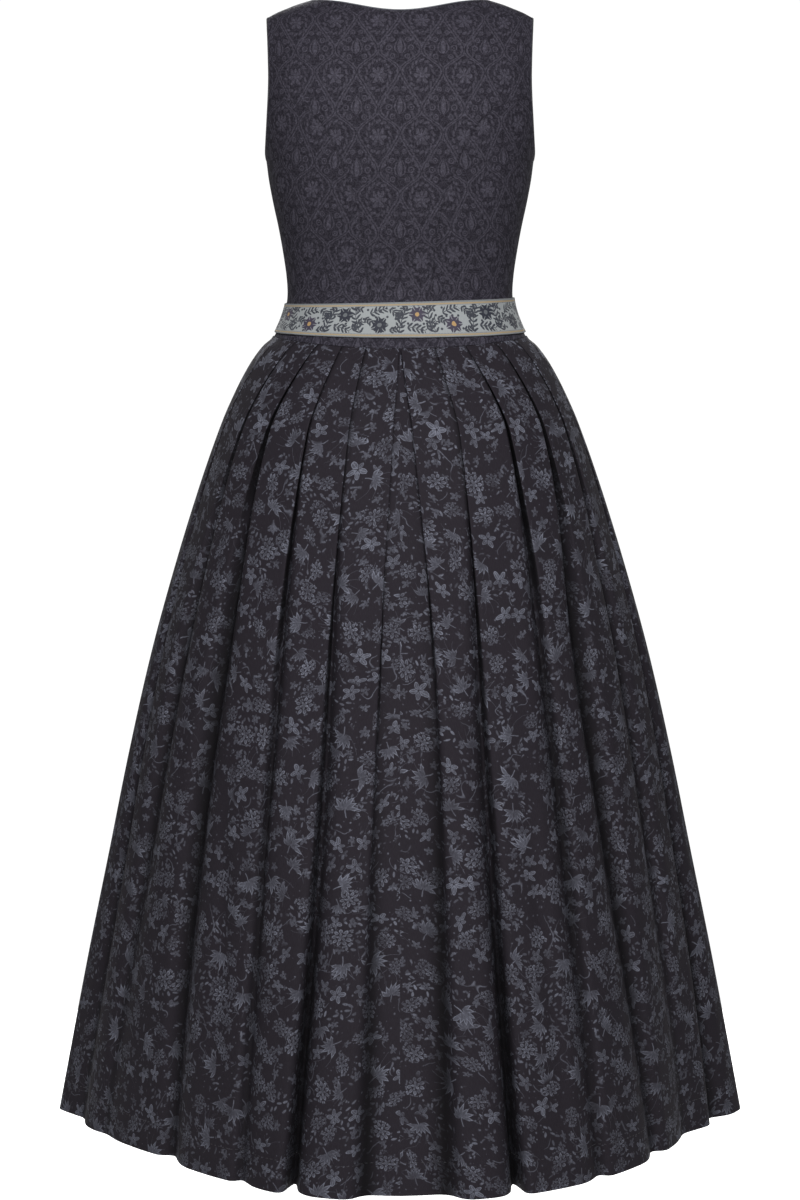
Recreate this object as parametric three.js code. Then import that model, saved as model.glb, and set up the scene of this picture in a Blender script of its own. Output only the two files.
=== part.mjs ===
import * as THREE from "three";

// A long sleeveless dirndl that keeps the form in which it is worn, with nobody in it.
// Millimetres, +Z up. The garment's back faces -Y and its front +Y. The origin lies midway between the two
// shoulders, level with the top of the straps, where a wearer holds the dress up.

// Cloth and seams
const SEAM_GAP = 0.3; // between two pieces that are sewn together
const BODICE_WALL = 1.6; // jacquard with its backing
const SKIRT_WALL = 1.2; // woven floral cloth
const BELT_WALL = 1.2; // ribbon, 40 mm wide along its slant

// Neck, straps and armholes
const NECK_HALF = 104; // centre line to the inner end of a shoulder seam
const STRAP_END = 154.5; // centre line to the outer end of a shoulder seam
const BACK_NECK_DROP = 10.4; // how far the back neckline dips below the straps
const FRONT_NECK_DROP = 172; // how far the front neckline reaches down
const FRONT_NECK_SQUARENESS = 3; // 2 is an ellipse, more is squarer
const UNDERARM = -184; // lowest point of an armhole, at the side seam
const PRINCESS_TOP = -114; // height at which the back princess seam runs into the armhole

// Edge of an armhole: its distance from the centre line on the back and the front, by height
const ARMHOLE = [
  { z: -19.5, back: 154.5, front: 154.5 },
  { z: -32, back: 153.8, front: 150.5 },
  { z: -45, back: 153, front: 147 },
  { z: -68, back: 152, front: 142.5 },
  { z: -91, back: 151.5, front: 140.5 },
  { z: -114, back: 152.2, front: 141 },
  { z: -137, back: 153.6, front: 145 },
  { z: -158, back: 155.2, front: 150.5 },
  { z: -174, back: 156.8, front: 155.2 },
];

// Heights of the waist seam and the hem
const WAIST_SEAM = -389; // at the sides
const BACK_DIP = 10; // the seam is this much lower at the centre back
const FRONT_DIP = 5;
const HEM = -1316;

// Ribbon belt
const BELT_TOP = -347.5;
const BELT_TOP_TILT = 3.5; // its top edge lies higher on the right by this much
const BELT_BOTTOM = -385;
const BELT_DIP = 3; // the bottom edge is this much lower at the centre back
const BELT_CLEARANCE = 1; // to the bodice, whose flat facets reach out between the belt's own

// Horizontal sections of the bodice: half width, depth to the back and the front, and the superellipse's power
const BODICE_SECTIONS = [
  { z: 20, half: 165.5, back: 110, front: 120, power: 2.4 },
  { z: -120, half: 165.5, back: 110, front: 121, power: 2.4 },
  { z: -150, half: 162.5, back: 110, front: 122, power: 2.4 },
  { z: -184, half: 156.4, back: 108, front: 124, power: 2.4 },
  { z: -207, half: 153.4, back: 106, front: 126, power: 2.4 },
  { z: -235, half: 148.2, back: 103, front: 127, power: 2.4 },
  { z: -262, half: 142.4, back: 98, front: 122, power: 2.35 },
  { z: -290, half: 137.4, back: 92, front: 113, power: 2.3 },
  { z: -318, half: 133.4, back: 88, front: 104, power: 2.25 },
  { z: -340, half: 132.2, back: 87, front: 100, power: 2.2 },
  { z: -356, half: 134.4, back: 90, front: 101, power: 2.2 },
  { z: -372, half: 139.8, back: 96, front: 104, power: 2.2 },
  { z: -389, half: 147.8, back: 103, front: 107, power: 2.2 },
  { z: -402, half: 153.5, back: 108, front: 110, power: 2.2 },
];

// Shoulder line: height of the ridge on which the back and the front meet, by distance from the centre
const CREST = [
  { across: 0, z: 14 },
  { across: 57, z: 10.5 },
  { across: 85, z: 4.5 },
  { across: 104, z: 0.6 },
  { across: 120, z: -4.2 },
  { across: 133, z: -9.2 },
  { across: 144, z: -13.8 },
  { across: 154.5, z: -19.5 },
];
const BACK_ROUND_FROM = -160; // above this height the back curves in towards the ridge
const FRONT_ROUND_FROM = -190;

// Fullness that the waist darts give the front: how far it stands out, and where
const BUST = { out: 12, across: 74, z: -232, width: 46, height: 44 };

// Back princess seam, from the waist up to the armhole: distance from the centre line
const PRINCESS_SEAM = [
  { z: -400, across: 33 },
  { z: -341, across: 35 },
  { z: -299, across: 39 },
  { z: -272, across: 43 },
  { z: -242, across: 48 },
  { z: -219, across: 55 },
  { z: -196, across: 63 },
  { z: -173, across: 73 },
  { z: -150, across: 86 },
  { z: -130, across: 103 },
  { z: -119, across: 126 },
  { z: -114, across: 152.2 },
];

// Horizontal sections of the skirt's middle surface, from the waist seam to the hem
const SKIRT_SECTIONS = [
  { z: -385, half: 147.5, back: 101, front: 105, power: 2.2 },
  { z: -392, half: 150.5, back: 106, front: 108, power: 2.15 },
  { z: -400, half: 160.0, back: 114, front: 114, power: 2.1 },
  { z: -417, half: 173.0, back: 128, front: 125, power: 2.05 },
  { z: -435, half: 183.6, back: 141, front: 136, power: 2.0 },
  { z: -453, half: 192.8, back: 152, front: 146, power: 2.0 },
  { z: -488, half: 208.4, back: 170, front: 163, power: 2.0 },
  { z: -559, half: 234.0, back: 200, front: 192, power: 2.0 },
  { z: -654, half: 264.0, back: 234, front: 226, power: 2.0 },
  { z: -762, half: 294.2, back: 268, front: 260, power: 1.98 },
  { z: -882, half: 322.0, back: 300, front: 292, power: 1.95 },
  { z: -1003, half: 347.0, back: 329, front: 321, power: 1.9 },
  { z: -1125, half: 372.5, back: 355, front: 347, power: 1.85 },
  { z: -1248, half: 396.5, back: 378, front: 370, power: 1.8 },
  { z: -1316, half: 409.5, back: 388, front: 381, power: 1.75 },
];

// Pleats. Each row is one fold edge that faces the centre line, from the centre outwards. The four numbers of
// a column are its values at the waist, hip, thigh and hem, which lie at these shares of the skirt's length.
const STATIONS = [0, 0.11, 0.45, 1];
// at: degrees from the centre line. drop: height of the fold edge over the valley before it.
// lap: how far that valley lies under the edge, or, where it is negative, before it.
// fall: width over which the cloth before the valley sinks in. reach: how far the fold stands out at the hem.
const PLEATS = {
  back_left: [
    { at: [0.5, 2.3, 4.8, 8.5], drop: [4, 5, 9, 21],
      lap: [1.2, 1.5, -1, -24], fall: [0, 0, 0, 0], reach: 14 },
    { at: [14.4, 16.1, 15.2, 16.3], drop: [5, 7, 12, 46],
      lap: [1.5, 2, 0, -9], fall: [12, 12, 22, 11], reach: 14 },
    { at: [25, 30, 28.8, 27.5], drop: [5, 9, 14, 6],
      lap: [1.5, 1.5, -5, -16], fall: [12, 14, 26, 36], reach: -4 },
    { at: [37.5, 46.6, 50, 51], drop: [6, 14, 25, 6],
      lap: [1.5, 0, -20, -22], fall: [12, 16, 38, 60], reach: -31 },
    { at: [52, 60.5, 65, 67], drop: [6, 9, 15, 7],
      lap: [1.5, -1, -12, -20], fall: [12, 14, 26, 40], reach: -23 },
    { at: [69, 76, 79, 80.5], drop: [5, 7, 13, 10],
      lap: [1.5, -1, -10, -18], fall: [12, 12, 22, 34], reach: -17 },
  ],
  back_right: [
    { at: [0.5, 4.2, 8.6, 11], drop: [4, 6, 13, 30],
      lap: [1.2, 1.5, -2, -26], fall: [0, 0, 0, 0], reach: 18 },
    { at: [14.8, 18.7, 17.4, 17.4], drop: [5, 7, 15, 50],
      lap: [1.5, 2, -1, -6], fall: [12, 12, 20, 8], reach: 20 },
    { at: [28.6, 36.4, 35.4, 34.5], drop: [5, 11, 17, 5],
      lap: [1.5, 1, -7, -18], fall: [12, 16, 28, 40], reach: 5 },
    { at: [45.6, 52.4, 50, 53], drop: [6, 14, 24, 7],
      lap: [1.5, 0, -18, -26], fall: [12, 16, 36, 44], reach: -21 },
    { at: [61, 66, 66, 66], drop: [6, 8, 14, 5],
      lap: [1.5, -1, -10, -20], fall: [12, 14, 26, 40], reach: -36 },
    { at: [76, 79, 80, 80.5], drop: [5, 6, 12, 28],
      lap: [1.5, -1, -9, -26], fall: [12, 10, 20, 24], reach: -11 },
  ],
  front_left: [
    { at: [0.5, 3, 6.5, 9], drop: [4, 6, 12, 20],
      lap: [1.2, 1.5, -2, -20], fall: [0, 0, 0, 0], reach: 12 },
    { at: [15, 17.5, 18.4, 19], drop: [5, 8, 15, 24],
      lap: [1.5, 1.8, -4, -15], fall: [12, 13, 26, 34], reach: 16 },
    { at: [29, 33.5, 32.5, 33], drop: [5, 8, 16, 30],
      lap: [1.5, 1.8, -6, -13], fall: [12, 14, 28, 28], reach: 8 },
    { at: [43.5, 48, 48.5, 49.5], drop: [6, 10, 18, 14],
      lap: [1.5, 1, -10, -24], fall: [12, 15, 30, 44], reach: -12 },
    { at: [58.5, 63, 64.5, 66], drop: [6, 8, 15, 12],
      lap: [1.5, 0, -12, -22], fall: [12, 14, 28, 42], reach: -25 },
    { at: [73.5, 77.5, 79, 80], drop: [5, 7, 12, 12],
      lap: [1.5, -1, -10, -18], fall: [12, 12, 22, 34], reach: -19 },
  ],
  front_right: [
    { at: [0.5, 2.6, 5.6, 8], drop: [4, 6, 11, 18],
      lap: [1.2, 1.5, -2, -18], fall: [0, 0, 0, 0], reach: 12 },
    { at: [14.2, 16.6, 16.8, 18], drop: [5, 8, 16, 34],
      lap: [1.5, 1.8, -3, -12], fall: [12, 13, 24, 26], reach: 16 },
    { at: [28, 31.8, 32, 31.5], drop: [5, 8, 14, 16],
      lap: [1.5, 1.8, -6, -18], fall: [12, 14, 28, 38], reach: 10 },
    { at: [42.5, 47.5, 47, 48], drop: [6, 11, 19, 20],
      lap: [1.5, 1, -10, -22], fall: [12, 15, 30, 42], reach: -10 },
    { at: [57.5, 62, 63, 64.5], drop: [6, 8, 14, 10],
      lap: [1.5, 0, -12, -22], fall: [12, 14, 28, 42], reach: -27 },
    { at: [73, 77, 78.5, 79.5], drop: [5, 7, 12, 14],
      lap: [1.5, -1, -10, -18], fall: [12, 12, 22, 34], reach: -19 },
  ],
};
const SIDE_NOSE = 86; // degrees from the centre line at which the cloth turns along the side seam
const SIDE_STAND = { waist: 0.4, hem: 1 }; // how far it stands out there
const EDGE_STAND = 2; // a fold edge stands this far out of the section
const CORNER_SHARE = 0.42; // share of a stretch between two bends that rounding may take
const CORNER_MOST = 15;
const REACH_GROWTH = 1.8; // power with which the reach grows towards the hem

// Rows and columns of the panels
const SKIRT_ROWS = [0, 0.01, 0.028, 0.06, 0.11, 0.18, 0.27, 0.38, 0.5, 0.62, 0.75, 0.88, 1];
const WAIST_CROWDING = 1.3; // more than 1 brings the bodice's rows closer together at the waist
const STRAP_ROWS = 7; // above the princess seams
const STRAP_COLUMNS = 3;
const NECK_COLUMNS = 8;
const SIDE_ROWS = 14;
const SIDE_COLUMNS = 8;
const FRONT_ROWS = 19;
const FRONT_SIDE_ROWS = 9;
const FRONT_CENTRE_ROWS = 9;
const FRONT_COLUMNS = 9;
const BELT_ROWS = 4;
const BELT_COLUMNS = 72;

const radians = THREE.MathUtils.degToRad;
const lerp = THREE.MathUtils.lerp;

// A column of a table at a place between its rows, on a smooth curve through them.
function curveAt(rows, key, column, place) {
  const ascending = rows[rows.length - 1][key] > rows[0][key];
  const sorted = ascending ? rows : [...rows].reverse();
  const last = sorted.length - 1;
  const at = THREE.MathUtils.clamp(place, sorted[0][key], sorted[last][key]);
  let i = sorted.findIndex((row, n) => n < last && at <= sorted[n + 1][key]);
  if (i < 0) i = last - 1;
  const slope = (n) => {
    const [a, b] = [sorted[Math.max(n - 1, 0)], sorted[Math.min(n + 1, last)]];
    return (b[column] - a[column]) / (b[key] - a[key]);
  };
  const width = sorted[i + 1][key] - sorted[i][key];
  const t = (at - sorted[i][key]) / width;
  const [p, q] = [sorted[i][column], sorted[i + 1][column]];
  const [mp, mq] = [slope(i) * width, slope(i + 1) * width];
  return (
    p * (1 + 2 * t) * (1 - t) ** 2 + mp * t * (1 - t) ** 2 + q * t * t * (3 - 2 * t) + mq * t * t * (t - 1)
  );
}

// The value of a pleat's column at a share of the skirt's length.
function stationValue(values, share) {
  const i = share < STATIONS[1] ? 0 : share < STATIONS[2] ? 1 : 2;
  const t = (share - STATIONS[i]) / (STATIONS[i + 1] - STATIONS[i]);
  return lerp(values[i], values[i + 1], t);
}

// Height of the seam between the bodice and the skirt at an angle from the centre back.
function waistSeam(angle) {
  const c = Math.cos(angle);
  return WAIST_SEAM - (c > 0 ? BACK_DIP : FRONT_DIP) * c * c;
}

// A point of a horizontal section. Angle 0 is the centre back and a quarter turn is the right side.
function sectionPoint(sections, angle, z) {
  const half = curveAt(sections, "z", "half", z);
  const back = Math.cos(angle) >= 0;
  const depth = curveAt(sections, "z", back ? "back" : "front", z);
  const power = curveAt(sections, "z", "power", z);
  const s = Math.min(Math.abs(Math.sin(angle)), 1);
  const y = depth * (1 - s ** power) ** (1 / power);
  return new THREE.Vector3(half * Math.sin(angle), back ? -y : y, z);
}

// How far the darts let the front stand out at a distance from the centre line and a height.
function bustFullness(across, z) {
  const a = (across - BUST.across) / BUST.width;
  const b = (z - BUST.z) / BUST.height;
  return BUST.out * Math.exp(-a * a - b * b);
}

// A point of the bodice, whose sections close towards the shoulder line.
function bodicePoint(angle, z) {
  const p = sectionPoint(BODICE_SECTIONS, angle, z);
  const from = Math.cos(angle) >= 0 ? BACK_ROUND_FROM : FRONT_ROUND_FROM;
  if (p.y > 0) p.y += bustFullness(Math.abs(p.x), z);
  if (z > from) {
    const t = Math.min((z - from) / (ridgeHeight(p.x) - from), 1);
    p.y *= Math.sqrt(1 - t * t);
  }
  return p;
}

// The [angle, height] place of the bodice at a distance from the centre line, on the back or the front.
function placeAcross(across, z, onBack) {
  const s = THREE.MathUtils.clamp(across / curveAt(BODICE_SECTIONS, "z", "half", z), -1, 1);
  return [onBack ? Math.asin(s) : Math.PI - Math.asin(s), z];
}

// Outward normal of the bodice's surface.
function bodiceNormal(angle, z) {
  const step = 0.01;
  const round = bodicePoint(angle + step, z).sub(bodicePoint(angle - step, z));
  const down = bodicePoint(angle, z - 1).sub(bodicePoint(angle, z + 1));
  return down.cross(round).normalize();
}

// Places along the path through a list of places, at even distances or crowded towards its start.
function spaced(places, count, crowding = 1) {
  const points = places.map((place) => bodicePoint(...place));
  const along = [0];
  for (let i = 1; i < points.length; i++) along.push(along[i - 1] + points[i].distanceTo(points[i - 1]));
  const result = [];
  for (let n = 0; n <= count; n++) {
    const at = (n / count) ** crowding * along[along.length - 1];
    let i = 1;
    while (i < along.length - 1 && along[i] < at) i++;
    const t = (at - along[i - 1]) / (along[i] - along[i - 1]);
    result.push([0, 1].map((k) => lerp(places[i - 1][k], places[i][k], t)));
  }
  return result;
}

// Places inside four edges, as rows from the top down. The lower and upper edges run with the angle, and the
// left and right ones run up.
function patchPlaces({ lower, upper, left, right }) {
  const rows = left.length - 1;
  const columns = lower.length - 1;
  const result = [];
  for (let i = rows; i >= 0; i--) {
    const v = i / rows;
    result.push(
      lower.map((_, j) => {
        const u = j / columns;
        return [0, 1].map((k) => {
          const corners = [lower[0][k], lower[columns][k], upper[0][k], upper[columns][k]];
          const blend = lerp(lerp(corners[0], corners[1], u), lerp(corners[2], corners[3], u), v);
          return lerp(left[i][k], right[i][k], u) + lerp(lower[j][k], upper[j][k], v) - blend;
        });
      }),
    );
  }
  return result;
}

// Outward normals of a grid of points whose rows run down and whose columns run round with the angle.
function gridNormals(grid) {
  const rows = grid.length;
  const columns = grid[0].length;
  return grid.map((row, r) =>
    row.map((_, c) => {
      const down = grid[Math.min(r + 1, rows - 1)][c].clone().sub(grid[Math.max(r - 1, 0)][c]);
      const round = row[Math.min(c + 1, columns - 1)].clone().sub(row[Math.max(c - 1, 0)]);
      return down.normalize().cross(round.normalize()).normalize();
    }),
  );
}

// Keeps a grid half a seam gap clear of a plane through the origin, and turns its normals along the plane.
function keepOff(grid, normals, axis, side) {
  grid.forEach((row, r) =>
    row.forEach((p, c) => {
      if (p[axis] * side > SEAM_GAP / 2 + 0.01) return;
      p[axis] = (side * SEAM_GAP) / 2;
      normals[r][c][axis] = 0;
      normals[r][c].normalize();
    }),
  );
}

function levelNormals(row) {
  row.forEach((n) => {
    n.z = 0;
    n.normalize();
  });
}

// A grid and its normals on the other side of the centre line.
function mirrorSide({ grid, normals }) {
  const flip = (rows) => rows.map((row) => row.map((p) => new THREE.Vector3(-p.x, p.y, p.z)).reverse());
  return { grid: flip(grid), normals: flip(normals) };
}

// A closed wall on a grid of points, from outer outside it to inner inside it.
function wallGeometry({ grid, normals }, outer, inner) {
  const rows = grid.length;
  const columns = grid[0].length;
  const positions = [];
  for (const distance of [outer, -inner])
    grid.forEach((row, r) =>
      row.forEach((p, c) => positions.push(...p.clone().addScaledVector(normals[r][c], distance).toArray())),
    );
  const index = [];
  const vertex = (side, r, c) => side * rows * columns + r * columns + c;
  const face = (a, b, c, d) => index.push(a, b, c, a, c, d);
  for (let r = 0; r + 1 < rows; r++)
    for (let c = 0; c + 1 < columns; c++) {
      face(vertex(0, r, c), vertex(0, r + 1, c), vertex(0, r + 1, c + 1), vertex(0, r, c + 1));
      face(vertex(1, r, c), vertex(1, r, c + 1), vertex(1, r + 1, c + 1), vertex(1, r + 1, c));
    }
  for (let r = 0; r + 1 < rows; r++) {
    const end = columns - 1;
    face(vertex(1, r, 0), vertex(1, r + 1, 0), vertex(0, r + 1, 0), vertex(0, r, 0));
    face(vertex(0, r, end), vertex(0, r + 1, end), vertex(1, r + 1, end), vertex(1, r, end));
  }
  for (let c = 0; c + 1 < columns; c++) {
    const end = rows - 1;
    face(vertex(0, 0, c), vertex(0, 0, c + 1), vertex(1, 0, c + 1), vertex(1, 0, c));
    face(vertex(1, end, c), vertex(1, end, c + 1), vertex(0, end, c + 1), vertex(0, end, c));
  }
  const geometry = new THREE.BufferGeometry();
  geometry.setAttribute("position", new THREE.Float32BufferAttribute(positions, 3));
  geometry.setIndex(index);
  geometry.computeVertexNormals();
  return geometry;
}

// Grid and normals of a bodice panel from its four edges.
function bodicePanel(edges) {
  const places = patchPlaces(edges);
  const grid = places.map((row) => row.map((place) => bodicePoint(...place)));
  const normals = places.map((row) => row.map((place) => bodiceNormal(...place)));
  levelNormals(normals[normals.length - 1]);
  return { grid, normals };
}

// Moves one edge column of a panel back from a seam, square to it: by half a gap, towards the given side.
function leaveSeam({ grid, normals }, column, towards, topRow) {
  const edge = grid.map((row) => row[column].clone());
  for (let r = topRow; r < grid.length; r++) {
    const up = edge[Math.max(r - 1, topRow)].clone().sub(edge[Math.min(r + 1, grid.length - 1)]);
    const across = normals[r][column].clone().cross(up).normalize();
    grid[r][column].addScaledVector(across, (towards * SEAM_GAP) / 2);
  }
}

// Waist edge of a bodice panel between two angles, a seam gap above the skirt.
function waistEdge(from, to, columns) {
  return Array.from({ length: columns + 1 }, (_, j) => {
    const angle = lerp(from, to, j / columns);
    return [angle, waistSeam(angle) + SEAM_GAP];
  });
}

// The back princess seam on the right, from the waist up to the armhole.
function princessPlaces() {
  const foot = placeAcross(PRINCESS_SEAM[0].across, PRINCESS_SEAM[0].z, true)[0];
  const places = [[foot, waistSeam(foot) + SEAM_GAP]];
  const steps = 40;
  for (let i = 1; i <= steps; i++) {
    const z = lerp(places[0][1], PRINCESS_TOP, i / steps);
    places.push(placeAcross(curveAt(PRINCESS_SEAM, "z", "across", z), z, true));
  }
  return spaced(places, SIDE_ROWS, WAIST_CROWDING);
}

// The armhole's edge on the right between two heights, from the lower one up.
function armholePlaces(onBack, from, to, count) {
  const column = onBack ? "back" : "front";
  const lowest = ARMHOLE[ARMHOLE.length - 1].z;
  const places = from < lowest ? [[Math.PI / 2, from]] : [];
  const steps = 24;
  for (let i = 0; i <= steps; i++) {
    const z = lerp(Math.max(from, lowest), to, i / steps);
    places.push(placeAcross(curveAt(ARMHOLE, "z", column, z), z, onBack));
  }
  return spaced(places, count);
}

const sideSeam = () => [[Math.PI / 2, waistSeam(Math.PI / 2) + SEAM_GAP], [Math.PI / 2, UNDERARM]];
const ridgeHeight = (across) => curveAt(CREST, "across", "z", Math.abs(across));
const ridgePlace = (across, onBack) => placeAcross(across, ridgeHeight(across), onBack);
const mirrorPlaces = (places) => places.map(([angle, z]) => [-angle, z]);

function centreBackPanel() {
  const seam = princessPlaces();
  const right = [...seam, ...armholePlaces(true, PRINCESS_TOP, ARMHOLE[0].z, STRAP_ROWS).slice(1)];
  const foot = seam[0][0];
  const neckEnd = ridgeHeight(NECK_HALF);
  const strap = [];
  for (let j = 1; j <= STRAP_COLUMNS; j++)
    strap.push(ridgePlace(lerp(NECK_HALF, STRAP_END, j / STRAP_COLUMNS), true));
  const upper = mirrorPlaces(strap).reverse();
  for (let j = 0; j <= NECK_COLUMNS; j++) {
    const across = lerp(-NECK_HALF, NECK_HALF, j / NECK_COLUMNS);
    const share = (1 + Math.cos((Math.PI * across) / NECK_HALF)) / 2;
    upper.push(placeAcross(across, neckEnd - (BACK_NECK_DROP + neckEnd) * share, true));
  }
  upper.push(...strap);
  const lower = waistEdge(-foot, foot, upper.length - 1);
  const panel = bodicePanel({ lower, upper, left: mirrorPlaces(right), right });
  leaveSeam(panel, 0, -1, STRAP_ROWS);
  leaveSeam(panel, upper.length - 1, 1, STRAP_ROWS);
  keepOff(panel.grid, panel.normals, "y", -1);
  return panel;
}

// The side back panel on the right, between the princess seam, the armhole and the side seam.
function sideBackPanel() {
  const left = princessPlaces();
  const right = spaced(sideSeam(), SIDE_ROWS, WAIST_CROWDING);
  const upper = armholePlaces(true, UNDERARM, PRINCESS_TOP, SIDE_COLUMNS).reverse();
  const lower = waistEdge(left[0][0], Math.PI / 2, SIDE_COLUMNS);
  const panel = bodicePanel({ lower, upper, left, right });
  leaveSeam(panel, 0, -1, 0);
  keepOff(panel.grid, panel.normals, "y", -1);
  return panel;
}

// The front panel on the right, from the side seam to the closed centre front edge, with the strap above.
function frontPanel() {
  const armRows = FRONT_ROWS - FRONT_SIDE_ROWS;
  const arm = armholePlaces(false, UNDERARM, ARMHOLE[0].z, armRows);
  const left = [...spaced(sideSeam(), FRONT_SIDE_ROWS, WAIST_CROWDING), ...arm.slice(1)];
  const neckline = [];
  const neckEnd = ridgeHeight(NECK_HALF);
  const power = 2 / FRONT_NECK_SQUARENESS;
  const steps = 24;
  for (let i = 0; i <= steps; i++) {
    const turn = (i / steps) * (Math.PI / 2);
    const across = NECK_HALF * Math.sin(turn) ** power;
    const drop = (FRONT_NECK_DROP + neckEnd) * Math.cos(turn) ** power;
    neckline.push(placeAcross(across, neckEnd - drop, false));
  }
  const centre = [[Math.PI, waistSeam(Math.PI) + SEAM_GAP], [Math.PI, -FRONT_NECK_DROP]];
  const neckRows = FRONT_ROWS - FRONT_CENTRE_ROWS;
  const closed = spaced(centre, FRONT_CENTRE_ROWS, WAIST_CROWDING);
  const right = [...closed, ...spaced(neckline, neckRows).slice(1)];
  const upper = Array.from({ length: FRONT_COLUMNS + 1 }, (_, j) =>
    ridgePlace(lerp(STRAP_END, NECK_HALF, j / FRONT_COLUMNS), false),
  );
  const lower = waistEdge(Math.PI / 2, Math.PI, FRONT_COLUMNS);
  const panel = bodicePanel({ lower, upper, left, right });
  keepOff(panel.grid, panel.normals, "y", 1);
  keepOff(panel.grid, panel.normals, "x", 1);
  return panel;
}

// The ribbon belt: the bodice's own points, moved out, all round with its ends meeting at the centre front.
function beltPanel() {
  const frontHalf = SEAM_GAP / curveAt(BODICE_SECTIONS, "z", "half", BELT_TOP);
  const grid = [];
  for (let i = 0; i <= BELT_ROWS; i++) {
    const row = [];
    for (let j = 0; j <= BELT_COLUMNS; j++) {
      const angle = lerp(-Math.PI + frontHalf, Math.PI - frontHalf, j / BELT_COLUMNS);
      const top = BELT_TOP + BELT_TOP_TILT * Math.sin(angle);
      const bottom = BELT_BOTTOM - BELT_DIP * Math.max(Math.cos(angle), 0) ** 2;
      row.push(bodicePoint(angle, lerp(top, bottom, i / BELT_ROWS)));
    }
    grid.push(row);
  }
  return { grid, normals: gridNormals(grid) };
}

// The bends of a skirt quarter at a share of its length, as {at, along, out}: degrees from the centre line,
// millimetres along the cloth from there, and millimetres out of the section.
function quarterBends(pleats, share) {
  const bends = [];
  const valleyOut = (fold) => fold.out - fold.drop;
  const folds = pleats.map((pleat) => ({
    at: stationValue(pleat.at, share),
    drop: stationValue(pleat.drop, share),
    lap: stationValue(pleat.lap, share),
    fall: stationValue(pleat.fall, share),
    out: EDGE_STAND + pleat.reach * share ** REACH_GROWTH,
  }));
  bends.push({ at: 0, along: 0, out: valleyOut(folds[0]) });
  folds.forEach((fold, k) => {
    const before = k > 0 ? (folds[k - 1].out + fold.out) / 2 : 0;
    if (k > 0) bends.push({ at: fold.at, along: fold.lap - fold.fall, out: before });
    bends.push({ at: fold.at, along: fold.lap, out: valleyOut(fold) });
    bends.push({ at: fold.at, along: 0, out: fold.out });
  });
  bends.push({ at: SIDE_NOSE, along: 0, out: lerp(SIDE_STAND.waist, SIDE_STAND.hem, share) });
  bends.push({ at: 90, along: 0, out: 0 });
  return bends;
}

// A point of the skirt's section at a share of its length, moved along the section and out of it.
function skirtPoint(face, at, along, out, share) {
  const angleOf = (degrees) => (face === "back" ? radians(degrees) : Math.PI - radians(degrees));
  const heightOf = (degrees) => lerp(waistSeam(angleOf(degrees)), HEM, share);
  const on = (degrees) => sectionPoint(SKIRT_SECTIONS, angleOf(degrees), heightOf(degrees));
  const step = 0.5;
  const perDegree = on(at + step).setZ(0).distanceTo(on(at - step).setZ(0)) / (2 * step);
  const place = at + along / perDegree;
  const round = on(Math.min(place + step, 90)).sub(on(place - step)).setZ(0).normalize();
  const outward = new THREE.Vector3(round.y, -round.x, 0);
  if (face === "front") outward.negate();
  return on(place).addScaledVector(outward, out);
}

// A right-hand quarter of the skirt: one width of cloth with its pleats.
function skirtQuarter(face, pleats) {
  const grid = SKIRT_ROWS.map((share) => {
    const bends = quarterBends(pleats, share).map((b) => skirtPoint(face, b.at, b.along, b.out, share));
    const row = [bends[0]];
    for (let i = 1; i + 1 < bends.length; i++) {
      const before = bends[i].distanceTo(bends[i - 1]);
      const after = bends[i].distanceTo(bends[i + 1]);
      const cut = Math.min(CORNER_SHARE * before, CORNER_SHARE * after, CORNER_MOST);
      row.push(bends[i].clone().lerp(bends[i - 1], cut / before));
      row.push(bends[i].clone().lerp(bends[i + 1], cut / after));
    }
    row.push(bends[bends.length - 1]);
    return face === "back" ? row : row.reverse();
  });
  const normals = gridNormals(grid);
  levelNormals(normals[0]);
  levelNormals(normals[normals.length - 1]);
  keepOff(grid, normals, "x", 1);
  keepOff(grid, normals, "y", face === "back" ? -1 : 1);
  return { grid, normals };
}

// Finishes
const damask = () => new THREE.MeshStandardMaterial({ color: 0x3b3b45, roughness: 0.82, metalness: 0 });
const floral = () => new THREE.MeshStandardMaterial({ color: 0x35343d, roughness: 0.78, metalness: 0 });
const ribbon = () => new THREE.MeshStandardMaterial({ color: 0x8d9094, roughness: 0.6, metalness: 0 });

const dress = new THREE.Group();

function addPiece(name, geometry, material) {
  const mesh = new THREE.Mesh(geometry, material);
  mesh.name = name;
  dress.add(mesh);
}

addPiece("bodice_back_centre", wallGeometry(centreBackPanel(), 0, BODICE_WALL), damask());
for (const side of ["left", "right"]) {
  const placed = (panel) => (side === "right" ? panel : mirrorSide(panel));
  addPiece(`bodice_back_side_${side}`, wallGeometry(placed(sideBackPanel()), 0, BODICE_WALL), damask());
  addPiece(`bodice_front_${side}`, wallGeometry(placed(frontPanel()), 0, BODICE_WALL), damask());
  for (const face of ["back", "front"]) {
    const quarter = placed(skirtQuarter(face, PLEATS[`${face}_${side}`]));
    addPiece(`skirt_${face}_${side}`, wallGeometry(quarter, SKIRT_WALL / 2, SKIRT_WALL / 2), floral());
  }
}
addPiece("belt", wallGeometry(beltPanel(), BELT_CLEARANCE + BELT_WALL, -BELT_CLEARANCE), ribbon());

export default dress;
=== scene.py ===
"""A long sleeveless dirndl that keeps the form in which it is worn, with nobody in it.

The tables are in millimetres, as in the part's source, and meshes are written in metres. +Z is up, the
garment's back faces -Y, and the origin lies midway between the shoulders at the top of the straps.
"""

import logging
import math
from collections.abc import Callable
from dataclasses import dataclass, field
from enum import Enum

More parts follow.
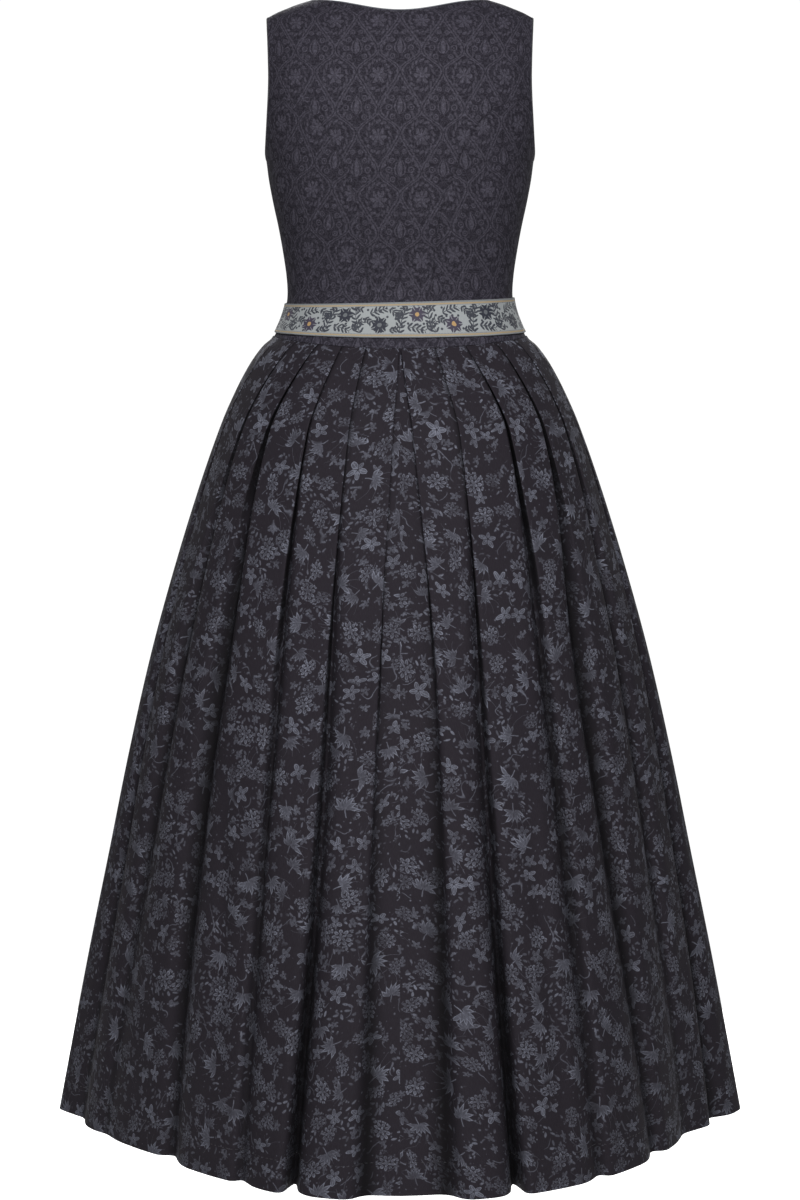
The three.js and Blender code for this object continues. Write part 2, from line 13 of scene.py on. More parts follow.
import bpy
import numpy as np
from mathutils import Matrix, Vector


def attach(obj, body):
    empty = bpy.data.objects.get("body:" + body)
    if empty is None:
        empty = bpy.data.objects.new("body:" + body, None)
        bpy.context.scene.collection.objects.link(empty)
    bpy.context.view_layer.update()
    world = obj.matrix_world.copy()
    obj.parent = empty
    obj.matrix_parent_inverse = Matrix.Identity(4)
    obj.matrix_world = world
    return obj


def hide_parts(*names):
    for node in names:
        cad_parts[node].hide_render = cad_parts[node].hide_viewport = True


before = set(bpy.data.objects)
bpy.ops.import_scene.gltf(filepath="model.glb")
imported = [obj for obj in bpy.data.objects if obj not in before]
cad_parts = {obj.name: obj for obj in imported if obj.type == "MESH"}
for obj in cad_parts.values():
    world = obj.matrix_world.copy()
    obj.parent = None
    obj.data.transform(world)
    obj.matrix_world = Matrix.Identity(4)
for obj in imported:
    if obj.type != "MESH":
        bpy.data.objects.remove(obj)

LOG = logging.getLogger("dirndl")
MM = 0.001
TOUCH = 0.01
LEVEL = np.array([1.0, 1.0, 0.0])
FLIP = np.array([-1.0, 1.0, 1.0])
BODY = "root"
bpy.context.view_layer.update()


class Face(Enum):
    """The half of the garment that a piece belongs to."""

    BACK = "back"
    FRONT = "front"


class Side(Enum):
    """The wearer's left or right."""

    LEFT = "left"
    RIGHT = "right"


class Slot(Enum):
    """The record's material slots."""

    DAMASK = "damask"
    FLORAL = "floral"
    RIBBON = "ribbon"


class Held(Enum):
    """How a piece of cloth keeps its place."""

    GATHERED = "gathered"
    STRETCHED = "stretched"


class Curve:
    """A smooth curve through the rows of a table."""

    def __init__(self, keys: list[float], values: list[float], steady: bool = False) -> None:
        """Takes the table's key column and one value column.

        Args:
            keys: the key column, in either direction.
            values: the values at those keys.
            steady: True for a curve that never passes beyond the values on either side of it.
        """
        order = np.argsort(keys)
        self.keys = np.array(keys, float)[order]
        self.values = np.array(values, float)[order]
        last = len(keys) - 1
        before = np.maximum(np.arange(last + 1) - 1, 0)
        after = np.minimum(np.arange(last + 1) + 1, last)
        self.slopes = (self.values[after] - self.values[before]) / (self.keys[after] - self.keys[before])
        if steady:
            steps = np.diff(self.values) / np.diff(self.keys)
            left, right = steps[:-1], steps[1:]
            same = left * right > 0
            inner = np.where(same, 2 * left * right / np.where(same, left + right, 1), 0)
            self.slopes[1:-1] = inner
            self.slopes[[0, -1]] = steps[[0, -1]]

    def __call__(self, at: np.ndarray | float) -> np.ndarray:
        """Reads the curve, which is held at the table's ends.

        Args:
            at: one or more keys.

        Returns:
            The values there.
        """
        place = np.clip(np.asarray(at, float), self.keys[0], self.keys[-1])
        i = np.clip(np.searchsorted(self.keys, place, side="left") - 1, 0, len(self.keys) - 2)
        width = self.keys[i + 1] - self.keys[i]
        t = (place - self.keys[i]) / width
        p, q = self.values[i], self.values[i + 1]
        mp, mq = self.slopes[i] * width, self.slopes[i + 1] * width
        rise = t * (1 - t) ** 2
        return p * (1 + 2 * t) * (1 - t) ** 2 + mp * rise + q * t * t * (3 - 2 * t) + mq * t * t * (t - 1)


class Table:
    """A table whose first column is the key and whose other columns are smooth curves."""

    def __init__(self, columns: str, rows: list[tuple[float, ...]], steady: bool = False) -> None:
        """Takes the table.

        Args:
            columns: the columns' names in one string.
            rows: the rows in their order.
            steady: True for curves that never pass beyond the values on either side.
        """
        names = columns.split()
        cells = np.array(rows, float)
        for i, name in enumerate(names[1:], start=1):
            setattr(self, name, Curve(cells[:, 0], cells[:, i], steady))


def smooth(low: float, high: float, x: np.ndarray) -> np.ndarray:
    """Returns 0 where x is below low, 1 where it is above high, and a smooth step between."""
    t = np.clip((x - low) / (high - low), 0, 1)
    return t * t * (3 - 2 * t)


def unit(vectors: np.ndarray) -> np.ndarray:
    """Returns the vectors at length one."""
    return vectors / np.maximum(np.linalg.norm(vectors, axis=-1, keepdims=True), 1e-9)


@dataclass
class Crease:
    """One soft trough or ridge that the hand leaves in the cloth.

    Its place is a share of the piece's width and of its length, from the top. Depth is in millimetres and
    negative for a trough, and lean is how much further on it ends, as a share of the width.
    """

    across: float
    start: float
    end: float
    depth: float
    width: float
    lean: float = 0.0


@dataclass
class Cloth:
    """A grid of points on a piece of cloth, with rows that run down and columns that run round.

    u and v are the places on the flat cloth in millimetres. u_before is what the faces before a column
    see there and u_after what the faces after it see, which differ where a pleat hides cloth. fold is the
    strength of the shade painted in and beside folds and seams, from 0 to 1.
    """

    points: np.ndarray
    normals: np.ndarray
    u_before: np.ndarray
    u_after: np.ndarray
    v: np.ndarray
    fold: np.ndarray

    def mirrored(self) -> "Cloth":
        """Mirrors the cloth.

        Returns:
            The same cloth on the other side of the centre line.
        """
        return Cloth(
            self.points[:, ::-1] * FLIP,
            self.normals[:, ::-1] * FLIP,
            -self.u_after[:, ::-1],
            -self.u_before[:, ::-1],
            self.v[:, ::-1],
            self.fold[:, ::-1],
        )

    def shares(self) -> tuple[np.ndarray, np.ndarray]:
        """Works out where on the piece each point lies.

        Returns:
            Its share of its row's width and of its column's length.
        """
        across = arc_lengths(self.points, 1)
        down = arc_lengths(self.points, 0)
        return across / across[:, -1:], down / down[-1:]

    def meet(self, axis: int, way: int) -> None:
        """Ends the cloth on the plane through the origin where it meets its neighbour.

        Args:
            axis: 0 for the centre plane, 1 for the one through the sides.
            way: 1 where the cloth lies on the plane's positive side, else -1.
        """
        near = self.points[..., axis] * way <= TOUCH
        self.points[..., axis] = np.where(near, 0, self.points[..., axis])
        self.normals[..., axis] = np.where(near, 0, self.normals[..., axis])

    def crease(self, creases: list[Crease]) -> None:
        """Presses soft troughs and ridges into the cloth, along its normals.

        Args:
            creases: the troughs and ridges of this piece.
        """
        across, down = self.shares()
        width = arc_lengths(self.points, 1)[:, -1:]
        depth = np.zeros(across.shape)
        for c in creases:
            t = np.clip((down - c.start) / (c.end - c.start), 0, 1)
            wander = 0.012 * np.sin(t * 5.1 + c.across * 31)
            off = (across - c.across - c.lean * t - wander) * width / c.width
            depth += c.depth * np.sin(np.pi * t) ** 1.3 * np.exp(-off * off)
        self.points += self.normals * depth[..., None]

    def to_object(self, name: str, outer: np.ndarray | float, inner: np.ndarray | float) -> bpy.types.Object:
        """Makes a closed wall of the cloth.

        Args:
            name: name of the piece.
            outer: how far the outside stands out from the points.
            inner: how far the inside lies within them.

        Returns:
            A mesh object with a UV map in metres of flat cloth.
        """
        shape = self.v.shape
        offsets = [np.ones(shape) * offset for offset in (outer, -np.asarray(inner))]
        shell = [self.points + self.normals * offset[..., None] for offset in offsets]
        vertices = np.concatenate([layer.reshape(-1, 3) for layer in shell]) * MM
        ids = np.arange(2 * self.v.size).reshape(2, *shape)
        near, far, out, within = slice(None, -1), slice(1, None), 0, 1
        strips = (
            ((out, near, near), (out, far, near), (out, far, far), (out, near, far)),
            ((within, near, near), (within, near, far), (within, far, far), (within, far, near)),
            ((within, near, 0), (within, far, 0), (out, far, 0), (out, near, 0)),
            ((out, near, -1), (out, far, -1), (within, far, -1), (within, near, -1)),
            ((out, 0, near), (out, 0, far), (within, 0, far), (within, 0, near)),
            ((within, -1, near), (within, -1, far), (out, -1, far), (out, -1, near)),
        )
        before, after = (np.stack([u, self.v], -1) for u in (self.u_before, self.u_after))
        faces, places = [], []
        for strip in strips:
            sides = [(before if column in (far, -1) else after)[row, column] for _, row, column in strip]
            faces.append(np.stack([ids[corner] for corner in strip], -1).reshape(-1, 4))
            places.append(np.stack(sides, -2).reshape(-1, 2) * MM)
        made = make_object(name, vertices, np.concatenate(faces), np.concatenate(places))
        # The fold attribute carries the painted shade of folds and seams to the cloth's material.
        layer = made.data.attributes.new("fold", "FLOAT", "POINT")
        layer.data.foreach_set("value", np.concatenate([self.fold.ravel()] * 2).astype(np.float32))
        return made


SHARP_ANGLE = math.radians(55)


def make_object(name: str, vertices: np.ndarray, faces: np.ndarray, places: np.ndarray) -> bpy.types.Object:
    """Makes a mesh object of quads.

    Args:
        name: name of the object and its mesh.
        vertices: points in metres, (N, 3).
        faces: corner numbers, (M, 4).
        places: UV of each corner, (4 M, 2), in metres.

    Returns:
        The object, smooth but for sharp edges, in the scene.
    """
    mesh = bpy.data.meshes.new(name)
    mesh.vertices.add(len(vertices))
    mesh.vertices.foreach_set("co", vertices.astype(np.float32).ravel())
    mesh.loops.add(faces.size)
    mesh.loops.foreach_set("vertex_index", faces.astype(np.int32).ravel())
    mesh.polygons.add(len(faces))
    mesh.polygons.foreach_set("loop_start", np.arange(0, faces.size, 4, dtype=np.int32))
    mesh.update(calc_edges=True)
    layer = mesh.uv_layers.new(name="cloth")
    layer.uv.foreach_set("vector", places.astype(np.float32).ravel())
    mesh.validate()
    mesh.set_sharp_from_angle(angle=SHARP_ANGLE)
    made = bpy.data.objects.new(name, mesh)
    bpy.context.scene.collection.objects.link(made)
    return made


def arc_lengths(points: np.ndarray, axis: int) -> np.ndarray:
    """Measures along a grid.

    Args:
        points: the grid.
        axis: 1 to go along its rows, 0 to go down its columns.

    Returns:
        Each point's distance from the start.
    """
    steps = np.linalg.norm(np.diff(points, axis=axis), axis=-1)
    start = np.zeros_like(np.take(steps, [0], axis=axis))
    return np.concatenate([start, np.cumsum(steps, axis=axis)], axis=axis)


def grid_normals(points: np.ndarray) -> np.ndarray:
    """Works out a grid's normals.

    Args:
        points: the grid, with rows that run down and columns that run round to the right.

    Returns:
        Its outward normals.
    """
    down = np.gradient(points, axis=0)
    along = np.gradient(points, axis=1)
    return unit(np.cross(unit(down), unit(along)))


def fall_lengths(points: np.ndarray) -> np.ndarray:
    """Measures a grid from its top row, square to its rows.

    Args:
        points: the grid.

    Returns:
        How far down the cloth each point lies.
    """
    along = unit(np.gradient(points, axis=1))
    step = np.diff(points, axis=0)
    middle = unit(along[1:] + along[:-1])
    square = step - middle * np.sum(step * middle, axis=-1, keepdims=True)
    lengths = np.linalg.norm(square, axis=-1)
    return np.concatenate([np.zeros((1, points.shape[1])), np.cumsum(lengths, axis=0)])


class Figure:
    """The form that the bodice and the skirt are cut to."""

    NECK_HALF = 104.0
    STRAP_END = 154.5
    SHOULDER_END = -19.5
    BACK_NECK_DROP = 13.4
    FRONT_NECK_DROP = 172.0
    FRONT_NECK_SQUARENESS = 3.0
    UNDERARM = -184.0
    PRINCESS_TOP = -114.0
    WAIST_SEAM = -389.0
    BACK_DIP = 10.0
    FRONT_DIP = 5.0
    HEM = -1316.0
    BACK_ROUND_FROM = -160.0
    FRONT_ROUND_FROM = -190.0
    BUST = {"out": 12.0, "across": 74.0, "z": -232.0, "width": 46.0, "height": 44.0}
    ARMHOLE = Table("z back front", [
        (-19.5, 154.5, 154.5),
        (-32, 153.8, 150.5),
        (-45, 153, 147),
        (-68, 152, 142.5),
        (-91, 151.5, 140.5),
        (-114, 152.2, 141),
        (-137, 153.6, 145),
        (-158, 155.2, 150.5),
        (-174, 156.8, 155.2),
    ])
    BODICE = Table("z half back front power", [
        (20, 165.5, 110, 120, 2.4),
        (-120, 165.5, 110, 121, 2.4),
        (-150, 162.5, 110, 122, 2.4),
        (-184, 156.4, 108, 124, 2.4),
        (-207, 153.4, 106, 126, 2.4),
        (-235, 148.2, 103, 127, 2.4),
        (-262, 142.4, 98, 122, 2.35),
        (-290, 137.4, 92, 113, 2.3),
        (-318, 133.4, 88, 104, 2.25),
        (-340, 132.2, 87, 100, 2.2),
        (-356, 134.4, 90, 101, 2.2),
        (-372, 139.8, 96, 104, 2.2),
        (-389, 147.8, 103, 107, 2.2),
        (-402, 153.5, 108, 110, 2.2),
    ])
    CREST = Table("across z", [
        (0, 14), (57, 10.5), (85, 4.5), (104, 0.6), (120, -4.2), (133, -9.2), (144, -13.8), (154.5, -19.5),
    ])
    PRINCESS = Table("z across", [
        (-400, 33), (-341, 35), (-299, 39), (-272, 43), (-242, 48), (-219, 55),
        (-196, 63), (-173, 73), (-150, 86), (-130, 103), (-119, 126), (-114, 152.2),
    ])
    SKIRT = Table("z half back front power", [
        (-385, 147.5, 101, 105, 2.2),
        (-392, 150.5, 106, 108, 2.15),
        (-400, 160.0, 114, 114, 2.1),
        (-417, 173.0, 128, 125, 2.05),
        (-435, 183.6, 141, 136, 2.0),
        (-453, 192.8, 152, 146, 2.0),
        (-488, 208.4, 170, 163, 2.0),
        (-559, 234.0, 200, 192, 2.0),
        (-654, 264.0, 234, 226, 2.0),
        (-762, 294.2, 268, 260, 1.98),
        (-882, 322.0, 300, 292, 1.95),
        (-1003, 347.0, 329, 321, 1.9),
        (-1125, 372.5, 355, 347, 1.85),
        (-1248, 396.5, 378, 370, 1.8),
        (-1316, 409.5, 388, 381, 1.75),
    ])

    def waist_seam(self, angle: np.ndarray | float) -> np.ndarray:
        """Returns the height of the seam between bodice and skirt at angles from the centre back."""
        c = np.cos(angle)
        return self.WAIST_SEAM - np.where(c > 0, self.BACK_DIP, self.FRONT_DIP) * c * c

    def section(self, table: Table, angle: np.ndarray, z: np.ndarray) -> np.ndarray:
        """Returns points of the horizontal sections of a table.

        Args:
            table: the sections.
            angle: radians from the centre back, a quarter turn at the right side.
            z: heights.

        Returns:
            Points, (..., 3).
        """
        angle, z = np.broadcast_arrays(np.asarray(angle, float), np.asarray(z, float))
        back = np.cos(angle) >= 0
        depth = np.where(back, table.back(z), table.front(z))
        power = table.power(z)
        s = np.minimum(np.abs(np.sin(angle)), 1)
        y = depth * (1 - s**power) ** (1 / power)
        return np.stack([table.half(z) * np.sin(angle), np.where(back, -y, y), z], -1)

    def ridge(self, across: np.ndarray | float) -> np.ndarray:
        """Returns the height of the shoulder line at distances from the centre."""
        return self.CREST.z(np.abs(across))

    def bodice(self, places: np.ndarray) -> np.ndarray:
        """Rounds the sections to the bust and over the shoulders.

        Args:
            places: angles and heights, (..., 2).

        Returns:
            The bodice's points there.
        """
        angle, z = places[..., 0], places[..., 1]
        p = self.section(self.BODICE, angle, z)
        a = (np.abs(p[..., 0]) - self.BUST["across"]) / self.BUST["width"]
        b = (z - self.BUST["z"]) / self.BUST["height"]
        p[..., 1] += np.where(p[..., 1] > 0, self.BUST["out"] * np.exp(-a * a - b * b), 0)
        start = np.where(np.cos(angle) >= 0, self.BACK_ROUND_FROM, self.FRONT_ROUND_FROM)
        t = np.clip((z - start) / (self.ridge(p[..., 0]) - start), 0, 1)
        p[..., 1] *= np.sqrt(1 - t * t)
        return p

    def bodice_normals(self, places: np.ndarray) -> np.ndarray:
        """Works out which way the bodice faces.

        Args:
            places: angles and heights, (..., 2).

        Returns:
            Outward normals there.
        """
        turn, rise = np.array([0.01, 0]), np.array([0, 1.0])
        along = self.bodice(places + turn) - self.bodice(places - turn)
        down = self.bodice(places - rise) - self.bodice(places + rise)
        return unit(np.cross(down, along))

    def place_across(self, across: np.ndarray, z: np.ndarray, face: Face) -> np.ndarray:
        """Finds places by their distance from the centre line.

        Args:
            across: the distances.
            z: heights.
            face: back or front.

        Returns:
            Angles and heights, (..., 2).
        """
        across, z = np.broadcast_arrays(np.asarray(across, float), np.asarray(z, float))
        angle = np.arcsin(np.clip(across / self.BODICE.half(z), -1, 1))
        return np.stack([angle if face is Face.BACK else math.pi - angle, z], -1)

    def spaced(self, places: np.ndarray, count: int, crowding: float = 1.0) -> np.ndarray:
        """Spaces places out along a path.

        Args:
            places: the path.
            count: how many steps are wanted.
            crowding: 1 for even steps, more for steps that are crowded at the start.

        Returns:
            One place more than there are steps.
        """
        along = arc_lengths(self.bodice(places)[None], 1)[0]
        at = np.linspace(0, 1, count + 1) ** crowding * along[-1]
        return np.stack([np.interp(at, along, places[:, k]) for k in (0, 1)], -1)


FIGURE = Figure()


def patch(lower: np.ndarray, upper: np.ndarray, left: np.ndarray, right: np.ndarray) -> np.ndarray:
    """Fills four edges with a grid of places.

    Args:
        lower: places of the lower edge, with the angle.
        upper: places of the upper edge, with the angle.
        left: places of the left edge, upwards.
        right: places of the right edge, upwards.

    Returns:
        (rows, columns, 2), with rows from the top down.
    """
    v = np.linspace(0, 1, len(left))[:, None, None]
    u = np.linspace(0, 1, len(lower))[None, :, None]
    corners = (lower[0] * (1 - u) + lower[-1] * u) * (1 - v) + (upper[0] * (1 - u) + upper[-1] * u) * v
    sides = left[:, None] * (1 - u) + right[:, None] * u
    ends = lower[None] * (1 - v) + upper[None] * v
    return (sides + ends - corners)[::-1]


@dataclass
class Panel:
    """One piece of the bodice before it is given its wall.

    middle is the angle from which its width is measured, grain is the turn of its cloth in radians, and
    unsewn is how many of its upper rows end in an open edge in place of a seam.
    """

    name: str
    places: np.ndarray
    middle: float
    grain: float
    unsewn: int
    creases: list[Crease]


@dataclass
class Bodice:
    """The fitted bodice: a centre back, two side backs and two fronts, with turned edges.

    fineness is how many rows and columns stand for one of the part's own solids' in each direction.
    """

    wall: float = 1.6
    fineness: int = 5
    waist_crowding: float = 1.3
    strap_rows: int = 7
    strap_columns: int = 3
    neck_columns: int = 8
    side_rows: int = 14
    side_columns: int = 12
    front_rows: int = 19
    front_side_rows: int = 9
    front_columns: int = 16
    side_grain: float = 0.11
    seam_sink: float = 0.5
    seam_width: float = 1.7
    dart_across: float = 70.0
    dart_lean: float = 10.0
    dart_top: float = -262.0
    dart_width: float = 1.6
    dart_sink: float = 0.7
    lowest: float = -402.0

    def princess(self) -> np.ndarray:
        """Finds the right princess seam.

        Returns:
            Places along it, from the waist up.
        """
        lowest = FIGURE.PRINCESS.across.keys[0]
        foot = float(FIGURE.place_across(FIGURE.PRINCESS.across(lowest), lowest, Face.BACK)[0])
        z = np.linspace(float(FIGURE.waist_seam(foot)), FIGURE.PRINCESS_TOP, 201)
        places = FIGURE.place_across(FIGURE.PRINCESS.across(z), z, Face.BACK)
        places[0, 0] = foot
        return FIGURE.spaced(places, self.side_rows * self.fineness, self.waist_crowding)

    def armhole(self, face: Face, start: float, end: float, count: int) -> np.ndarray:
        """Finds a stretch of the right armhole.

        Args:
            face: back or front.
            start: the lower height.
            end: the upper height.
            count: how many steps are wanted.

        Returns:
            Places along it, upwards.
        """
        column = FIGURE.ARMHOLE.back if face is Face.BACK else FIGURE.ARMHOLE.front
        lowest = column.keys[0]
        z = np.linspace(max(start, lowest), end, 121)
        places = FIGURE.place_across(column(z), z, face)
        if start < lowest:
            places = np.concatenate([[[math.pi / 2, start]], places])
        return FIGURE.spaced(places, count)

    def side_seam(self, count: int) -> np.ndarray:
        """Finds the right side seam.

        Args:
            count: how many steps are wanted.

        Returns:
            Places along it, from the waist up to the underarm.
        """
        foot = float(FIGURE.waist_seam(math.pi / 2))
        ends = np.array([[math.pi / 2, foot], [math.pi / 2, FIGURE.UNDERARM]])
        return FIGURE.spaced(ends, count, self.waist_crowding)

    def waist_edge(self, start: float, end: float, count: int) -> np.ndarray:
        """Returns places along the waist between two angles."""
        angle = np.linspace(start, end, count + 1)
        return np.stack([angle, FIGURE.waist_seam(angle)], -1)

    def back_neckline(self, count: int) -> np.ndarray:
        """Finds the back neckline.

        Args:
            count: how many steps are wanted.

        Returns:
            Places along it, from the left strap to the right one.
        """
        across = np.linspace(-FIGURE.NECK_HALF, FIGURE.NECK_HALF, count + 1)
        end = float(FIGURE.ridge(FIGURE.NECK_HALF))
        share = (1 + np.cos(math.pi * across / FIGURE.NECK_HALF)) / 2
        return FIGURE.place_across(across, end - (FIGURE.BACK_NECK_DROP + end) * share, Face.BACK)

    def front_neckline(self, count: int) -> np.ndarray:
        """Finds the right half of the front neckline.

        Args:
            count: how many steps are wanted.

        Returns:
            Places along it, from the centre up to the strap.
        """
        turn = np.linspace(0, math.pi / 2, 161)
        power = 2 / FIGURE.FRONT_NECK_SQUARENESS
        end = float(FIGURE.ridge(FIGURE.NECK_HALF))
        across = FIGURE.NECK_HALF * np.sin(turn) ** power
        z = end - (FIGURE.FRONT_NECK_DROP + end) * np.maximum(np.cos(turn), 0) ** power
        return FIGURE.spaced(FIGURE.place_across(across, z, Face.FRONT), count)

    def strap_end(self, face: Face, count: int) -> np.ndarray:
        """Returns places along the right shoulder seam, from the neck outwards."""
        across = np.linspace(FIGURE.NECK_HALF, FIGURE.STRAP_END, count + 1)
        return FIGURE.place_across(across, FIGURE.ridge(across), face)

    def centre_back(self) -> Panel:
        """Cuts the centre back panel.

        Returns:
            The panel, which reaches up to both shoulder seams.
        """
        fine = self.fineness
        seam = self.princess()
        arm = self.armhole(Face.BACK, FIGURE.PRINCESS_TOP, FIGURE.SHOULDER_END, self.strap_rows * fine)
        right = np.concatenate([seam, arm[1:]])
        mirror = FLIP[:2]
        strap = self.strap_end(Face.BACK, self.strap_columns * fine)[1:]
        neck = self.back_neckline(self.neck_columns * fine)
        upper = np.concatenate([(strap * mirror)[::-1], neck, strap])
        lower = self.waist_edge(-seam[0, 0], seam[0, 0], len(upper) - 1)
        creases = [
            Crease(0.5, 0.03, 0.2, -0.7, 16, 0.03),
            Crease(0.3, 0.06, 0.34, -0.8, 13, 0.12),
            Crease(0.71, 0.05, 0.31, -0.6, 15, -0.09),
            Crease(0.42, 0.5, 0.78, 0.4, 12, 0.02),
            Crease(0.6, 0.58, 0.86, -0.5, 10, -0.03),
        ]
        places = patch(lower, upper, right * mirror, right)
        return Panel("bodice_back_centre", places, 0.0, 0.0, self.strap_rows * fine, creases)

    def side_back(self) -> Panel:
        """Cuts the right side back panel.

        Returns:
            The panel.
        """
        fine = self.fineness
        rows, columns = self.side_rows * fine, self.side_columns * fine
        left = self.princess()
        right = self.side_seam(rows)
        upper = self.armhole(Face.BACK, FIGURE.UNDERARM, FIGURE.PRINCESS_TOP, columns)[::-1]
        lower = self.waist_edge(left[0, 0], math.pi / 2, columns)
        creases = [
            Crease(0.22, 0.1, 0.5, -0.6, 11, 0.1),
            Crease(0.62, 0.02, 0.26, -1.0, 12, -0.15),
            Crease(0.8, 0.3, 0.62, 0.5, 13, -0.05),
            Crease(0.45, 0.62, 0.95, -0.6, 10, 0.06),
        ]
        places = patch(lower, upper, left, right)
        return Panel("bodice_back_side", places, 0.0, self.side_grain, 0, creases)

    def front(self) -> Panel:
        """Cuts the right front panel.

        Returns:
            The panel, from the side seam to the centre front.
        """
        fine = self.fineness
        rows, columns = self.front_rows * fine, self.front_columns * fine
        side_rows = self.front_side_rows * fine
        arm = self.armhole(Face.FRONT, FIGURE.UNDERARM, FIGURE.SHOULDER_END, rows - side_rows)
        left = np.concatenate([self.side_seam(side_rows), arm[1:]])
        foot = float(FIGURE.waist_seam(math.pi))
        centre = np.array([[math.pi, foot], [math.pi, -FIGURE.FRONT_NECK_DROP]])
        closed = FIGURE.spaced(centre, side_rows, self.waist_crowding)
        right = np.concatenate([closed, self.front_neckline(rows - side_rows)[1:]])
        upper = self.strap_end(Face.FRONT, columns)[::-1]
        lower = self.waist_edge(math.pi / 2, math.pi, columns)
        creases = [
            Crease(0.3, 0.34, 0.6, -1.1, 14, 0.14),
            Crease(0.18, 0.5, 0.72, -0.8, 12, 0.1),
            Crease(0.75, 0.55, 0.8, -0.6, 12, -0.06),
            Crease(0.5, 0.06, 0.3, -0.5, 13, 0.05),
        ]
        places = patch(lower, upper, left, right)
        return Panel("bodice_front", places, math.pi, 0.0, rows - side_rows, creases)

    def shape(self, panel: Panel) -> Cloth:
        """Lays a panel's places on the figure and works its seams, darts and creases into it.

        Args:
            panel: the panel, on the right or across the centre.

        Returns:
            Its outer surface.
        """
        points = FIGURE.bodice(panel.places)
        normals = FIGURE.bodice_normals(panel.places)
        normals[-1] = unit(normals[-1] * LEVEL)
        u, v = self.flat_places(panel)
        cloth = Cloth(points, normals, u, u.copy(), v, np.zeros(u.shape))
        front = panel.name == "bodice_front"
        cloth.meet(1, 1 if front else -1)
        if front:
            cloth.meet(0, 1)
        cloth.normals = unit(normals)
        along = arc_lengths(points, 1)
        cloth.crease(panel.creases)
        sink = self.dart(points) if front else np.zeros(u.shape)
        for reach in (along, along[:, -1:] - along):
            dip = np.exp(-((reach / self.seam_width) ** 2))
            dip[:panel.unsewn] *= np.linspace(0, 1, panel.unsewn)[:, None] ** 6
            sink += self.seam_sink * dip
            # The seams' dip also sets the shade painted along them.
            cloth.fold = np.maximum(cloth.fold, dip)
        cloth.points -= cloth.normals * sink[..., None]
        return cloth

    def flat_places(self, panel: Panel) -> tuple[np.ndarray, np.ndarray]:
        """Works out where a panel's points lie on its flat cloth.

        Across, a place is the length of the level section from the panel's middle. Upwards, it is the
        length of the line that rises to it from below the waist. Both turn with the panel's grain.

        Args:
            panel: the panel.

        Returns:
            The places across and up, in millimetres.
        """
        angle, z = panel.places[..., 0], panel.places[..., 1]
        turns = panel.middle + (angle - panel.middle)[..., None] * np.linspace(0, 1, 25)
        level = FIGURE.section(FIGURE.BODICE, turns, z[..., None])
        across = np.linalg.norm(np.diff(level, axis=-2), axis=-1).sum(-1) * np.sign(angle - panel.middle)
        steps = 1 - (1 - np.linspace(0, 1, 49)) ** 2
        rising = self.lowest + (z - self.lowest)[..., None] * steps
        line = FIGURE.bodice(np.stack([np.broadcast_to(angle[..., None], rising.shape), rising], -1))
        up = np.linalg.norm(np.diff(line, axis=-2), axis=-1).sum(-1)
        c, s = math.cos(panel.grain), math.sin(panel.grain)
        return across * c + up * s, up * c - across * s

    def dart(self, points: np.ndarray) -> np.ndarray:
        """Works out the stitched waist dart of a front.

        Args:
            points: the front's points.

        Returns:
            How deep each of them sinks.
        """
        z = points[..., 2]
        line = self.dart_across - self.dart_lean * (z - self.dart_top) / (FIGURE.WAIST_SEAM - self.dart_top)
        off = (np.abs(points[..., 0]) - line) / self.dart_width
        return self.dart_sink * np.exp(-off * off) * (1 - smooth(self.dart_top - 12, self.dart_top + 4, z))

    def edge_path(self, places: np.ndarray) -> tuple[np.ndarray, np.ndarray]:
        """Returns the middle of the wall along an edge, and the wall's normals there."""
        normals = FIGURE.bodice_normals(places)
        return FIGURE.bodice(places) - normals * self.wall / 2, normals

    def armhole_loop(self) -> np.ndarray:
        """Finds the whole right armhole.

        Returns:
            Places up its back from the underarm, and down its front.
        """
        back, front = (self.armhole(face, FIGURE.UNDERARM, FIGURE.SHOULDER_END, 90) for face in Face)
        return np.concatenate([back, front[::-1][1:]])

    def neck_loop(self) -> np.ndarray:
        """Finds the right half of the neck.

        Returns:
            Places along it, from the centre back to the centre front.
        """
        back = self.back_neckline(120)[60:]
        front = self.front_neckline(110)
        return np.concatenate([back, front[::-1][1:]])

    def build(self, finish: bpy.types.Material) -> list[bpy.types.Object]:
        """Args:
            finish: the bodice's cloth.

        Returns:
            The panels.
        """
        made = []
        for panel in (self.centre_back(), self.side_back(), self.front()):
            cloth = self.shape(panel)
            width = float(arc_lengths(cloth.points, 1)[:, -1].max()) * MM
            length = float(np.ptp(cloth.v)) * MM
            whole = panel.name == "bodice_back_centre"
            for side in (Side.RIGHT,) if whole else Side:
                name = panel.name if whole else f"{panel.name}_{side.value}"
                placed = cloth if whole or side is Side.RIGHT else cloth.mirrored()
                piece = placed.to_object(f"{name}_cloth", 0.0, self.wall)
                dress_piece(piece, name, finish)
                share = min(1.0, max(0.3, cloth_area(placed) * MM * MM / (width * length)))
                made.append(piece)
        return made


def cloth_area(cloth: Cloth) -> float:
    """Measures a piece of cloth.

    Args:
        cloth: the piece.

    Returns:
        Its area in square millimetres.
    """
    p = cloth.points
    first = np.cross(p[1:, :-1] - p[:-1, :-1], p[:-1, 1:] - p[:-1, :-1])
    second = np.cross(p[1:, :-1] - p[1:, 1:], p[:-1, 1:] - p[1:, 1:])
    return float((np.linalg.norm(first, axis=-1) + np.linalg.norm(second, axis=-1)).sum() / 2)


def dress_piece(piece: bpy.types.Object, node: str, finish: bpy.types.Material) -> None:
    """Gives a piece its finish, and lets it stand for a node of the part.

    Args:
        piece: the finished piece.
        node: the node that it replaces.
        finish: its material.
    """
    piece.data.materials.append(finish)
    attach(piece, BODY)
    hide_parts(node)


